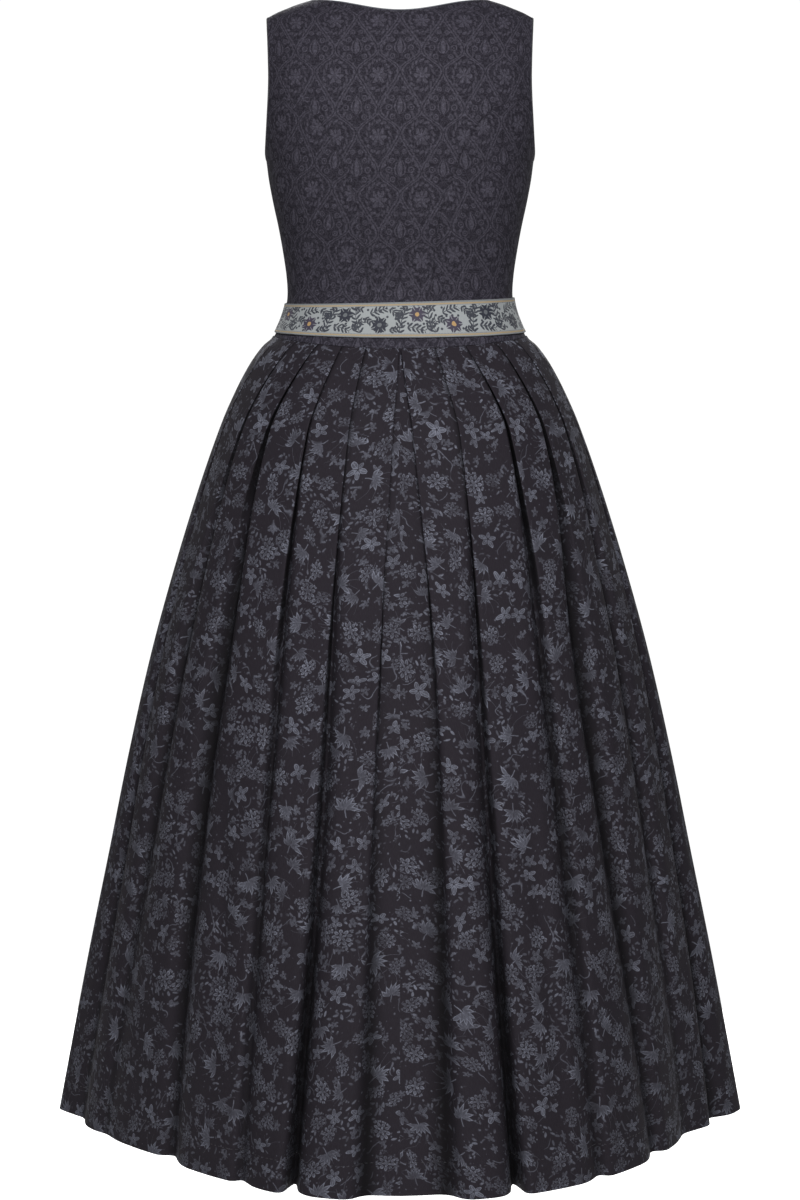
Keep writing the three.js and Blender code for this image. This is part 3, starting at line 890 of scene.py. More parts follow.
@dataclass
class Pleat:
    """One fold edge of a skirt quarter, whose values are given at the waist, hip, thigh and hem."""

    at: tuple[float, float, float, float]
    drop: tuple[float, float, float, float]
    lap: tuple[float, float, float, float]
    fall: tuple[float, float, float, float]
    reach: float


STATIONS = (0.0, 0.11, 0.45, 1.0)
PLEATS = {
    (Face.BACK, Side.LEFT): [
        Pleat((0.5, 2.3, 4.8, 7.5), (4, 5, 10, 22), (1.2, 1.5, -1, -13), (0, 0, 0, 0), 14),
        Pleat((14.4, 16.1, 16.0, 17.8), (5, 7, 20, 54), (1.5, 2, 0, 5), (12, 12, 19, 26), 14),
        Pleat((25, 30, 28.8, 27.5), (5, 9, 17, 12), (1.5, 1.5, -2, -8), (12, 14, 20, 28), -4),
        Pleat((37.5, 46.6, 50, 46.5), (6, 14, 25, 14), (1.5, 0, -14, -14), (12, 16, 32, 40), -31),
        Pleat((52, 60.5, 65, 67), (6, 9, 15, 7), (1.5, -1, -12, -20), (12, 14, 26, 40), -23),
        Pleat((69, 76, 79, 80.5), (5, 7, 13, 10), (1.5, -1, -10, -18), (12, 12, 22, 34), -17),
    ],
    (Face.BACK, Side.RIGHT): [
        Pleat((0.5, 4.2, 8.2, 9.6), (4, 6, 14, 27), (1.2, 1.5, -2, -14), (0, 0, 0, 0), 18),
        Pleat((14.8, 18.7, 18.2, 18.8), (5, 7, 22, 56), (1.5, 2, 0, 6), (12, 12, 19, 26), 20),
        Pleat((28.6, 36.4, 35.4, 34.5), (5, 11, 18, 12), (1.5, 1, -4, -9), (12, 16, 24, 30), 5),
        Pleat((45.6, 52.4, 50, 51.5), (6, 14, 24, 13), (1.5, 0, -13, -14), (12, 16, 32, 36), -21),
        Pleat((61, 66, 66, 66), (6, 8, 14, 5), (1.5, -1, -10, -20), (12, 14, 26, 40), -36),
        Pleat((76, 79, 80, 80.5), (5, 6, 12, 28), (1.5, -1, -9, -26), (12, 10, 20, 24), -11),
    ],
    (Face.FRONT, Side.LEFT): [
        Pleat((0.5, 3, 6.5, 9), (4, 6, 12, 20), (1.2, 1.5, -2, -20), (0, 0, 0, 0), 12),
        Pleat((15, 17.5, 18.4, 19), (5, 8, 15, 24), (1.5, 1.8, -4, -15), (12, 13, 26, 34), 16),
        Pleat((29, 33.5, 32.5, 33), (5, 8, 16, 30), (1.5, 1.8, -6, -13), (12, 14, 28, 28), 8),
        Pleat((43.5, 48, 48.5, 49.5), (6, 10, 18, 14), (1.5, 1, -10, -24), (12, 15, 30, 44), -12),
        Pleat((58.5, 63, 64.5, 66), (6, 8, 15, 12), (1.5, 0, -12, -22), (12, 14, 28, 42), -25),
        Pleat((73.5, 77.5, 79, 80), (5, 7, 12, 12), (1.5, -1, -10, -18), (12, 12, 22, 34), -19),
    ],
    (Face.FRONT, Side.RIGHT): [
        Pleat((0.5, 2.6, 5.6, 8), (4, 6, 11, 18), (1.2, 1.5, -2, -18), (0, 0, 0, 0), 12),
        Pleat((14.2, 16.6, 16.8, 18), (5, 8, 16, 34), (1.5, 1.8, -3, -12), (12, 13, 24, 26), 16),
        Pleat((28, 31.8, 32, 31.5), (5, 8, 14, 16), (1.5, 1.8, -6, -18), (12, 14, 28, 38), 10),
        Pleat((42.5, 47.5, 47, 48), (6, 11, 19, 20), (1.5, 1, -10, -22), (12, 15, 30, 42), -10),
        Pleat((57.5, 62, 63, 64.5), (6, 8, 14, 10), (1.5, 0, -12, -22), (12, 14, 28, 42), -27),
        Pleat((73, 77, 78.5, 79.5), (5, 7, 12, 14), (1.5, -1, -10, -18), (12, 12, 22, 34), -19),
    ],
}
SKIRT_CREASES = {
    (Face.BACK, Side.LEFT): [
        Crease(0.10, 0.30, 0.62, -1.8, 9, 0.02),
        Crease(0.31, 0.34, 0.80, 2.4, 14, 0.03),
        Crease(0.47, 0.46, 0.99, -3.8, 14, -0.02),
        Crease(0.66, 0.40, 0.76, 1.9, 12, 0.02),
        Crease(0.58, 0.08, 0.33, -1.2, 8, 0.03),
        Crease(0.86, 0.30, 0.90, -2.2, 15, 0.02),
    ],
    (Face.BACK, Side.RIGHT): [
        Crease(0.12, 0.36, 0.70, 1.9, 11, 0.02),
        Crease(0.33, 0.50, 0.99, -4.6, 13, 0.03),
        Crease(0.52, 0.36, 0.72, 2.0, 10, -0.03),
        Crease(0.70, 0.12, 0.40, -1.3, 9, 0.02),
        Crease(0.78, 0.50, 0.97, 3.4, 17, -0.02),
    ],
    (Face.FRONT, Side.LEFT): [
        Crease(0.14, 0.42, 0.85, -2.2, 12, 0.02),
        Crease(0.35, 0.28, 0.60, 1.7, 10, 0.03),
        Crease(0.55, 0.50, 0.98, -2.7, 16, -0.02),
        Crease(0.80, 0.33, 0.77, 2.1, 13, 0.02),
    ],
    (Face.FRONT, Side.RIGHT): [
        Crease(0.17, 0.33, 0.68, 1.9, 11, 0.03),
        Crease(0.40, 0.45, 0.95, -2.5, 15, -0.02),
        Crease(0.61, 0.25, 0.58, -1.5, 9, 0.02),
        Crease(0.83, 0.48, 0.96, 2.4, 15, 0.01),
    ],
}


@dataclass
class Skirt:
    """The pleated skirt: four flared widths of cloth, two at the back and two at the front."""

    wall: float = 1.2
    rows: int = 132
    row_crowding: float = 1.3
    side_nose: float = 86.0
    stand_waist: float = 0.4
    stand_hem: float = 1.0
    edge_stand: float = 2.0
    reach_growth: float = 1.8
    swell: float = 0.018
    flat_stretch: tuple[float, float] = (4, 30)
    corner_share: tuple[float, float] = (0.36, 0.47)
    corner_most: tuple[float, float] = (1.7, 34.0)
    corner_points: int = 6
    edge_sharpness: float = 0.4
    tuck: float = 3.6
    tighten: float = 5.5
    deepen: float = 3.5
    pressed_share: tuple[float, float] = (0.14, 0.5)
    open_from: float = 0.34
    hem_turn: float = 36.0
    hem_fold: float = 0.9
    hem_allowance: float = 0.04
    seam_allowance: float = 1.08
    # These three set only how the shade painted into the folds fades with a fold's lap and drop.
    deep_lap: tuple[float, float] = (-4, 2.5)
    deep_drop: tuple[float, float] = (26, 40)
    open_drop: tuple[float, float] = (6, 22)
    hem_lines: list[np.ndarray] = field(default_factory=list)
    offsets: dict[tuple[Face, Side], float] = field(default_factory=lambda: {
        (Face.BACK, Side.LEFT): 0.0,
        (Face.BACK, Side.RIGHT): 0.0,
        (Face.FRONT, Side.LEFT): 3100.0,
        (Face.FRONT, Side.RIGHT): 5300.0,
    })

    def shares(self) -> np.ndarray:
        """Returns the rows' shares of the skirt's length."""
        return np.linspace(0, 1, self.rows) ** self.row_crowding

    def fold(self, pleat: Pleat, share: np.ndarray) -> tuple[np.ndarray, ...]:
        """Works out a fold edge at each row.

        Args:
            pleat: the fold edge.
            share: the rows' shares of the skirt's length.

        Returns:
            Its place in degrees, drop, lap and fall, then how far out it stands, in millimetres.
        """
        pressed = 1 - smooth(*self.pressed_share, share)
        at, drop, lap, fall = (
            Curve(list(STATIONS), list(values), steady=True)(share)
            for values in (pleat.at, pleat.drop, pleat.lap, pleat.fall)
        )
        out = self.edge_stand + pleat.reach * share**self.reach_growth
        return at, drop + self.deepen * pressed, lap + self.tuck * pressed, fall - self.tighten * pressed, out

    def bends(
        self, face: Face, side: Side, share: np.ndarray
    ) -> tuple[np.ndarray, list[int], list[int], list[int]]:
        """Works out where the cloth of a quarter bends.

        Both quarters of a face start from the same line at the centre, so their seam is closed.

        Args:
            face: back or front.
            side: whose pleats it has.
            share: the rows' shares of the skirt's length.

        Returns:
            (bends, rows, 3) of degrees, millimetres along and millimetres out, then the numbers of the
            valleys and of the fold edges, and how many stretches of mesh follow each bend.
        """
        flat = np.zeros_like(share)
        folds = [self.fold(pleat, share) for pleat in PLEATS[face, side]]
        inner = [self.fold(PLEATS[face, either][0], share) for either in Side]
        bends = [(flat, flat, sum(out - drop for _, drop, _, _, out in inner) / 2)]
        valleys, edges, steps = [], [], [4]
        for k, (at, drop, lap, fall, out) in enumerate(folds):
            if k:
                bends.append((at, lap - fall, (folds[k - 1][4] + out) / 2))
                steps.append(5)
            valleys.append(len(bends))
            bends.append((at, lap, out - drop))
            steps.append(4)
            edges.append(len(bends))
            bends.append((at, flat, out))
            steps.append(11)
        stand = self.stand_waist + (self.stand_hem - self.stand_waist) * share
        bends.append((flat + self.side_nose, flat, stand))
        steps.append(5)
        bends.append((flat + 90, flat, flat))
        steps.append(0)
        return np.array(bends).transpose(0, 2, 1), valleys, edges, steps

    def on_section(self, face: Face, degrees: np.ndarray, share: np.ndarray) -> np.ndarray:
        """Finds points of the skirt's section without its folds.

        Args:
            face: back or front.
            degrees: how far round from the centre line.
            share: shares of the skirt's length.

        Returns:
            The points.
        """
        angle = np.radians(degrees) if face is Face.BACK else math.pi - np.radians(degrees)
        top = FIGURE.waist_seam(angle)
        return FIGURE.section(FIGURE.SKIRT, angle, top + (FIGURE.HEM - top) * share)

    def bend_points(self, face: Face, bends: np.ndarray, share: np.ndarray) -> np.ndarray:
        """Sets the bends off from the skirt's section.

        Args:
            face: back or front.
            bends: the bends, as bends() gives them.
            share: the rows' shares of the skirt's length.

        Returns:
            Their points, (bends, rows, 3).
        """
        at, along, out = bends[..., 0], bends[..., 1], bends[..., 2]
        step = 0.5
        pace = (self.on_section(face, at + step, share) - self.on_section(face, at - step, share)) * LEVEL
        place = at + along / (np.linalg.norm(pace, axis=-1) / (2 * step))
        ahead = self.on_section(face, np.minimum(place + step, 90), share)
        along_row = unit((ahead - self.on_section(face, place - step, share)) * LEVEL)
        outward = np.stack([along_row[..., 1], -along_row[..., 0], np.zeros_like(place)], -1)
        if face is Face.FRONT:
            outward = -outward
        return self.on_section(face, place, share) + outward * out[..., None]

    def quarter(self, face: Face, side: Side) -> Cloth:
        """Builds a quarter of the skirt as if it were on the right.

        Args:
            face: back or front.
            side: whose pleats it has.

        Returns:
            Its middle surface.
        """
        share = self.shares()
        bends, valleys, edges, steps = self.bends(face, side, share)
        p = self.bend_points(face, bends, share)
        lengths = np.linalg.norm(np.diff(p, axis=0), axis=-1)
        part = self.corner_share[0] + (self.corner_share[1] - self.corner_share[0]) * smooth(0, 0.5, share)
        most = self.corner_most[0] + (self.corner_most[1] - self.corner_most[0]) * smooth(0.1, 0.6, share)
        columns = [p[0]]
        marks = {}
        start = p[0]
        for i in range(1, len(p)):
            last = i == len(p) - 1
            reach = most * (self.edge_sharpness if i in edges else 1.0)
            cut = 0 if last else np.minimum(np.minimum(lengths[i - 1], lengths[i]) * part, reach)
            into = p[i] - unit(p[i] - p[i - 1]) * (cut if last else cut[:, None])
            stretch = np.linalg.norm(into - start, axis=-1)
            swell = self.swell * stretch * smooth(*self.flat_stretch, stretch)
            normal = self.row_normal(into - start)
            for n in range(1, steps[i - 1] + 1):
                t = n / steps[i - 1]
                columns.append(start + (into - start) * t + normal * (swell * 4 * t * (1 - t))[:, None])
            if last:
                break
            leave = p[i] + unit(p[i + 1] - p[i]) * cut[:, None]
            for n in range(1, self.corner_points + 1):
                t = n / self.corner_points
                columns.append(into * (1 - t) ** 2 + p[i] * (2 * t * (1 - t)) + leave * t * t)
                if n == self.corner_points // 2:
                    marks[i] = len(columns) - 1
            start = leave
        points = np.stack(columns, 1)
        u_before, u_after = self.flat_places(points, [marks[i] for i in valleys], [marks[i] for i in edges])
        v = fall_lengths(points)
        v = np.repeat(np.median(v, axis=1)[:, None], v.shape[1], axis=1)
        # fold is the shade painted into the quarter's folds.
        fold = self.painted_fold_shade(points, bends, [(i, marks[i], marks[i + 1]) for i in valleys])
        if face is Face.FRONT:
            points, fold = points[:, ::-1], fold[:, ::-1]
            u_before, u_after = -u_after[:, ::-1], -u_before[:, ::-1]
        return Cloth(points, grid_normals(points), u_before, u_after, -v, fold)

    def painted_fold_shade(
        self, points: np.ndarray, bends: np.ndarray, folds: list[tuple[int, int, int]]
    ) -> np.ndarray:
        """Works out how much shade is painted on each point of a quarter, in and beside its folds.

        Args:
            points: the quarter's grid.
            bends: the quarter's bends, as bends() gives them.
            folds: for each fold, its valley's bend and the columns of its valley and its edge.

        Returns:
            Painted shade from 0 to 1, one for each point.
        """
        painted_shade = np.zeros(points.shape[:2])
        for bend, valley, edge in folds:
            lap = bends[bend, :, 1][:, None]
            drop = (bends[bend + 1, :, 2] - bends[bend, :, 2])[:, None]
            from_edge = np.linalg.norm(points - points[:, edge : edge + 1], axis=-1)
            from_valley = np.linalg.norm(points - points[:, valley : valley + 1], axis=-1)
            # Shade is painted darkest in the crack under a pressed fold edge and along the valley of an open
            # fold.
            hidden = smooth(*self.deep_lap, lap) * (1 - smooth(*self.deep_drop, drop))
            crack_shade = np.exp(-((from_edge / (2.0 + 0.1 * drop + 0.006 * drop**2)) ** 2))
            crack_shade[:, valley:edge] = np.maximum(crack_shade, smooth(0.5, 3.0, from_edge))[:, valley:edge]
            crack_shade[:, edge:] = 0
            dim = 0.4 + 0.6 * smooth(*self.open_drop, drop)
            open_fold_shade = np.exp(-((from_valley / (2.5 + 0.42 * drop)) ** 2)) * dim
            painted_shade = np.maximum(painted_shade, np.maximum(crack_shade * hidden, open_fold_shade * (1 - hidden * 0.6)))
        return painted_shade

    def row_normal(self, along: np.ndarray) -> np.ndarray:
        """Returns the level outward direction beside stretches that run outwards from the centre."""
        across, ahead, _ = unit(along * LEVEL).T
        return np.stack([np.abs(ahead), -across * np.sign(ahead + 1e-9), 0 * across], -1)

    def flat_places(
        self, points: np.ndarray, valleys: list[int], edges: list[int]
    ) -> tuple[np.ndarray, np.ndarray]:
        """Works out where the points lie on the flat width of cloth.

        The width is a flared one. Below the pleats all of it shows. Above, its fold edges go on as
        straight lines, and what the folds don't show is hidden behind the valleys.

        Args:
            points: the quarter's grid.
            valleys: column of each valley.
            edges: column of each fold edge.

        Returns:
            The places that the faces before and after each column see.
        """
        along = arc_lengths(points, 1)
        share = self.shares()
        middle = along[:, edges[2]]
        lines = along[:, edges] - middle[:, None]
        opened = int(np.searchsorted(share, self.open_from))
        slope = (lines[-1] - lines[opened]) / (1 - share[opened])
        lines[:opened] = lines[opened] - slope * (share[opened] - share[:opened, None])
        before, after = np.zeros_like(along), np.zeros_like(along)
        ends = valleys[1:] + [along.shape[1] - 1]
        for k, (valley, edge, end) in enumerate(zip(valleys, edges, ends)):
            reach = lines[:, k : k + 1] + along - along[:, edge : edge + 1]
            first = 0 if k == 0 else valley
            after[:, first:end + 1] = reach[:, first:end + 1]
            before[:, first + (k > 0):end + 1] = reach[:, first + (k > 0):end + 1]
        before[:, -1] = after[:, -1]
        return before, after

    def build(self, finish: bpy.types.Material) -> list[bpy.types.Object]:
        """Args:
            finish: the skirt's cloth.

        Returns:
            The quarters.
        """
        made = []
        for face in Face:
            for side in Side:
                cloth = self.quarter(face, side)
                cloth.crease(SKIRT_CREASES[face, side])
                cloth.normals = grid_normals(cloth.points)
                for row in (0, -1):
                    cloth.normals[row] = unit(cloth.normals[row] * LEVEL)
                if side is Side.LEFT:
                    cloth = cloth.mirrored()
                offset = self.offsets[face, side]
                cloth.u_before = cloth.u_before + offset
                cloth.u_after = cloth.u_after + offset
                cloth.meet(0, 1 if side is Side.RIGHT else -1)
                cloth.meet(1, -1 if face is Face.BACK else 1)
                cloth.normals = unit(cloth.normals)
                rise = cloth.v - cloth.v.min(axis=0, keepdims=True)
                turn = 1 - smooth(self.hem_turn - 1.0, self.hem_turn + 1.0, rise)
                inner = self.wall / 2 + self.hem_fold * turn
                name = f"skirt_{face.value}_{side.value}"
                piece = cloth.to_object(f"{name}_cloth", self.wall / 2, inner)
                self.hem_lines.append(self.hem_line(cloth, rise))
                dress_piece(piece, name, finish)
                length = float(np.ptp(cloth.v)) * MM + self.hem_allowance
                flat = (round(float(np.ptp(cloth.u_after)) * MM, 3), round(length, 3))
                whole = flat[0] * flat[1]
                area = min(whole, max(cloth_area(cloth) * MM * MM * self.seam_allowance, 0.3 * whole))
                LOG.info("%s: flat %s m, area %.3f m2", piece.name, flat, area)
                made.append(piece)
        return made

    def hem_line(self, cloth: Cloth, rise: np.ndarray) -> np.ndarray:
        """Finds the line where the turned hem is sewn.

        Args:
            cloth: a quarter.
            rise: how far above the hem its points lie.

        Returns:
            Points on its outside, in millimetres.
        """
        outside = cloth.points + cloth.normals * (self.wall / 2 + 0.05)
        after = int(np.argmax(rise[:, 0] < self.hem_turn))
        high, low = rise[after - 1, 0], rise[after, 0]
        share = (high - self.hem_turn) / (high - low)
        return outside[after - 1] * (1 - share) + outside[after] * share


@dataclass
class Belt:
    """The woven ribbon round the waist, whose ends meet at the centre front."""

    top: float = -347.5
    top_tilt: float = 3.5
    bottom: float = -385.0
    dip: float = 3.0
    width: float = 40.5
    clearance: float = 1.0
    wall: float = 1.2
    rows: int = 14
    columns: int = 360
    crown: float = 0.35
    waves: tuple[tuple[float, float, float], ...] = ((0.22, 5, 0.7), (0.16, 13, 2.1), (0.1, 29, 0))

    def places(self) -> np.ndarray:
        """Finds where the belt lies on the figure.

        Returns:
            Angles and heights, (rows, columns, 2), with rows from the top down.
        """
        angle = np.linspace(-math.pi, math.pi, self.columns + 1)
        top = self.top + self.top_tilt * np.sin(angle)
        bottom = self.bottom - self.dip * np.maximum(np.cos(angle), 0) ** 2
        t = np.linspace(0, 1, self.rows + 1)[:, None]
        return np.stack([np.broadcast_to(angle, (self.rows + 1, len(angle))), top + (bottom - top) * t], -1)

    def cloth(self) -> Cloth:
        """Lays the ribbon on the bodice.

        Returns:
            The surface under it, a little domed and wavy, with the ribbon's own flat places.
        """
        places = self.places()
        points = FIGURE.bodice(places)
        normals = grid_normals(points)
        u = arc_lengths(points, 1)
        middle = u[self.rows // 2]
        u = np.broadcast_to(middle - middle[self.columns // 2], u.shape).copy()
        angle = places[..., 0]
        waves = sum(high * np.sin(angle * count + start) for high, count, start in self.waves)
        t = np.linspace(0, 1, self.rows + 1)[:, None]
        crown = self.crown * (1 - (2 * t - 1) ** 4)
        v = np.broadcast_to((1 - t) * self.width, u.shape).copy()
        cloth = Cloth(points, normals, u, u.copy(), v, np.zeros(u.shape))
        cloth.points = points + normals * (crown + waves * (0.35 + 0.65 * t))[..., None]
        return cloth

    def build(self, finish: bpy.types.Material) -> bpy.types.Object:
        """Args:
            finish: the ribbon.

        Returns:
            The belt.
        """
        cloth = self.cloth()
        piece = cloth.to_object("belt_ribbon", self.clearance + self.wall, -self.clearance)
        dress_piece(piece, "belt", finish)
        return piece


def worked_out(operation: str) -> Callable[..., "Signal"]:
    """Makes a method of Signal that adds a Math node.

    Args:
        operation: what the node works out from the signal and from the method's other values.

    Returns:
        The method.
    """
    def method(self: "Signal", *others: "Signal | float") -> "Signal":
        """Returns the node's result."""
        return self.graph.math(operation, self, *others)

    return method


class Signal:
    """A shader socket that takes part in Python expressions.

    a | b is the larger of the two, which joins two masks. a & b is the smaller, where two masks meet.
    """

    def __init__(self, graph: "Graph", socket: bpy.types.NodeSocket) -> None:
        """Wraps an output socket.

        Args:
            graph: the material's tree.
            socket: an output of one of its nodes.
        """
        self.graph = graph
        self.socket = socket

    __add__ = __radd__ = worked_out("ADD")
    __sub__ = worked_out("SUBTRACT")
    __mul__ = __rmul__ = worked_out("MULTIPLY")
    __truediv__ = worked_out("DIVIDE")
    __pow__ = worked_out("POWER")
    __abs__ = worked_out("ABSOLUTE")
    __or__ = worked_out("MAXIMUM")
    __and__ = worked_out("MINIMUM")
    sine = worked_out("SINE")
    cosine = worked_out("COSINE")
    direction = worked_out("ARCTAN2")
    floor = worked_out("FLOOR")
    rounded = worked_out("ROUND")
    fraction = worked_out("FRACT")
    root = worked_out("SQRT")

    def __rsub__(self, other: float) -> "Signal":
        """Returns a number less this."""
        return self.graph.math("SUBTRACT", other, self)

    def below(self, limit: "Signal | float", soft: float) -> "Signal":
        """Returns 1 where this lies below a limit and 0 above it, with a soft edge."""
        return self.graph.clamp(0.5 - (self - limit) / (2 * soft))

    def above(self, limit: "Signal | float", soft: float) -> "Signal":
        """Returns 1 where this lies above a limit and 0 below it, with a soft edge."""
        return self.graph.clamp((self - limit) / (2 * soft) + 0.5)

    def wrapped(self, pitch: float) -> "Signal":
        """Returns the distance from the nearest multiple of a pitch, with its sign."""
        return ((self / pitch + 0.5).fraction() - 0.5) * pitch


Input = Signal | float | tuple[float, ...]


class Graph:
    """The node tree of one material."""

    def __init__(self, name: str) -> None:
        """Makes a material with an empty tree.

        Args:
            name: the material's name.
        """
        self.material = bpy.data.materials.new(name)
        self.material.use_nodes = True
        self.tree = self.material.node_tree
        self.tree.nodes.clear()

    def node(self, kind: str, settings: dict[str, object], inputs: dict[str | int, Input]) -> bpy.types.Node:
        """Adds a node.

        Args:
            kind: the node's type.
            settings: its own properties, set first.
            inputs: values or signals for its sockets, by name or number.

        Returns:
            The node.
        """
        made = self.tree.nodes.new(kind)
        for name, value in settings.items():
            setattr(made, name, value)
        for key, value in inputs.items():
            socket = made.inputs[key]
            if isinstance(value, Signal):
                self.tree.links.new(value.socket, socket)
            else:
                socket.default_value = value
        return made

    def signal(
        self, kind: str, settings: dict[str, object], inputs: dict[str | int, Input], output: str | int = 0
    ) -> Signal:
        """Adds a node for one of its outputs.

        Args:
            kind: the node's type.
            settings: its own properties.
            inputs: values or signals for its sockets.
            output: which output is wanted.

        Returns:
            That output.
        """
        return Signal(self, self.node(kind, settings, inputs).outputs[output])

    def math(self, operation: str, *values: Input) -> Signal:
        """Returns the result of a Math node."""
        return self.signal("ShaderNodeMath", {"operation": operation}, dict(enumerate(values)))

    def vector_math(self, operation: str, *values: Input) -> Signal:
        """Returns the result of a Vector Math node."""
        return self.signal("ShaderNodeVectorMath", {"operation": operation}, dict(enumerate(values)))

    def clamp(self, value: Signal) -> Signal:
        """Returns a value held between 0 and 1."""
        return self.signal("ShaderNodeClamp", {}, {"Value": value})

    def split(self, vector: Signal) -> tuple[Signal, Signal, Signal]:
        """Returns the three parts of a vector."""
        made = self.node("ShaderNodeSeparateXYZ", {}, {"Vector": vector})
        return tuple(Signal(self, made.outputs[i]) for i in range(3))

    def join(self, x: Input, y: Input, z: Input = 0.0) -> Signal:
        """Returns a vector of three parts."""
        return self.signal("ShaderNodeCombineXYZ", {}, {"X": x, "Y": y, "Z": z})

    def mix(self, share: Input, first: Input, second: Input) -> Signal:
        """Returns a mix of two colours."""
        return self.signal("ShaderNodeMix", {"data_type": "RGBA"}, {0: share, 6: first, 7: second}, 2)

    def flat_cloth(self) -> Signal:
        """Returns the place on the flat cloth, in millimetres."""
        uv = self.signal("ShaderNodeUVMap", {"uv_map": "cloth"}, {})
        return self.signal("ShaderNodeVectorMath", {"operation": "SCALE"}, {0: uv, "Scale": 1 / MM})

    def noise(self, place: Signal, pitch: float, detail: float = 2.0, rough: float = 0.5) -> Signal:
        """Returns a noise from 0 to 1.

        Args:
            place: where on the cloth.
            pitch: how far apart its lumps are.
            detail: how many finer layers it has.
            rough: how strong they are.

        Returns:
            The noise.
        """
        settings = {"noise_dimensions": "2D"}
        inputs = {"Vector": place, "Scale": 1 / pitch, "Detail": detail, "Roughness": rough}
        return self.signal("ShaderNodeTexNoise", settings, inputs)

    def warped(self, place: Signal, pitch: float, reach: float) -> Signal:
        """Returns the place led astray by a noise.

        Args:
            place: where on the cloth.
            pitch: how far apart the noise's lumps are.
            reach: how far it leads.

        Returns:
            The new place.
        """
        inputs = {"Vector": place, "Scale": 1 / pitch, "Detail": 1.0}
        sway = self.signal("ShaderNodeTexNoise", {"noise_dimensions": "2D"}, inputs, "Color")
        off = self.vector_math("SUBTRACT", sway, (0.5, 0.5, 0.5))
        return self.vector_math("MULTIPLY_ADD", off, (2 * reach, 2 * reach, 0.0), place)

    def lot(self, x: Input, y: Input, z: Input = 0.0) -> Signal:
        """Returns a chance number from 0 to 1 that belongs to three others."""
        settings = {"noise_dimensions": "3D"}
        return self.signal("ShaderNodeTexWhiteNoise", settings, {"Vector": self.join(x, y, z)}, "Value")

    def bumped(self, height: Signal, strength: float, distance: float) -> Signal:
        """Returns the normal that a height gives the surface."""
        inputs = {"Strength": strength, "Distance": distance, "Height": height}
        return self.signal("ShaderNodeBump", {}, inputs, "Normal")

    def surface(self, shader: bpy.types.Node) -> bpy.types.Material:
        """Ends the tree in a shader.

        Args:
            shader: the shader's node.

        Returns:
            The material.
        """
        out = self.tree.nodes.new("ShaderNodeOutputMaterial")
        self.tree.links.new(shader.outputs[0], out.inputs["Surface"])
        return self.material


WHOLE_TURN = 6.283
HARD = 0.001


@dataclass(frozen=True)
class Motif:
    """Cells in which one motif of a pattern is strewn, each with its own turn and chance numbers."""

    x: Signal
    y: Signal
    r: Signal
    chance: tuple[Signal, Signal, Signal]


def strewn(graph: Graph, place: Signal, pitch: float, shift: tuple[float, float], chance: float) -> Motif:
    """Strews cells over the cloth.

    Args:
        graph: the material's tree.
        place: the place on the cloth, in millimetres.
        pitch: how far apart the cells lie.
        shift: where the cells start.
        chance: how far they stray, from 0 to 1.

    Returns:
        The place within the nearest cell, turned at random.
    """
    moved = graph.vector_math("ADD", place, (shift[0], shift[1], 0.0))
    inputs = {"Vector": moved, "Scale": 1 / pitch, "Randomness": chance}
    cells = graph.node("ShaderNodeTexVoronoi", {"voronoi_dimensions": "2D"}, inputs)
    off = graph.vector_math("SUBTRACT", moved, Signal(graph, cells.outputs["Position"]))
    parts = graph.node("ShaderNodeSeparateColor", {}, {"Color": Signal(graph, cells.outputs["Color"])})
    lots = tuple(Signal(graph, parts.outputs[i]) for i in range(3))
    turning = {"Vector": off, "Angle": lots[0] * WHOLE_TURN}
    x, y, _ = graph.split(graph.signal("ShaderNodeVectorRotate", {"rotation_type": "Z_AXIS"}, turning))
    r = graph.signal("ShaderNodeVectorMath", {"operation": "LENGTH"}, {0: off}, "Value")
    return Motif(x, y, r, lots)


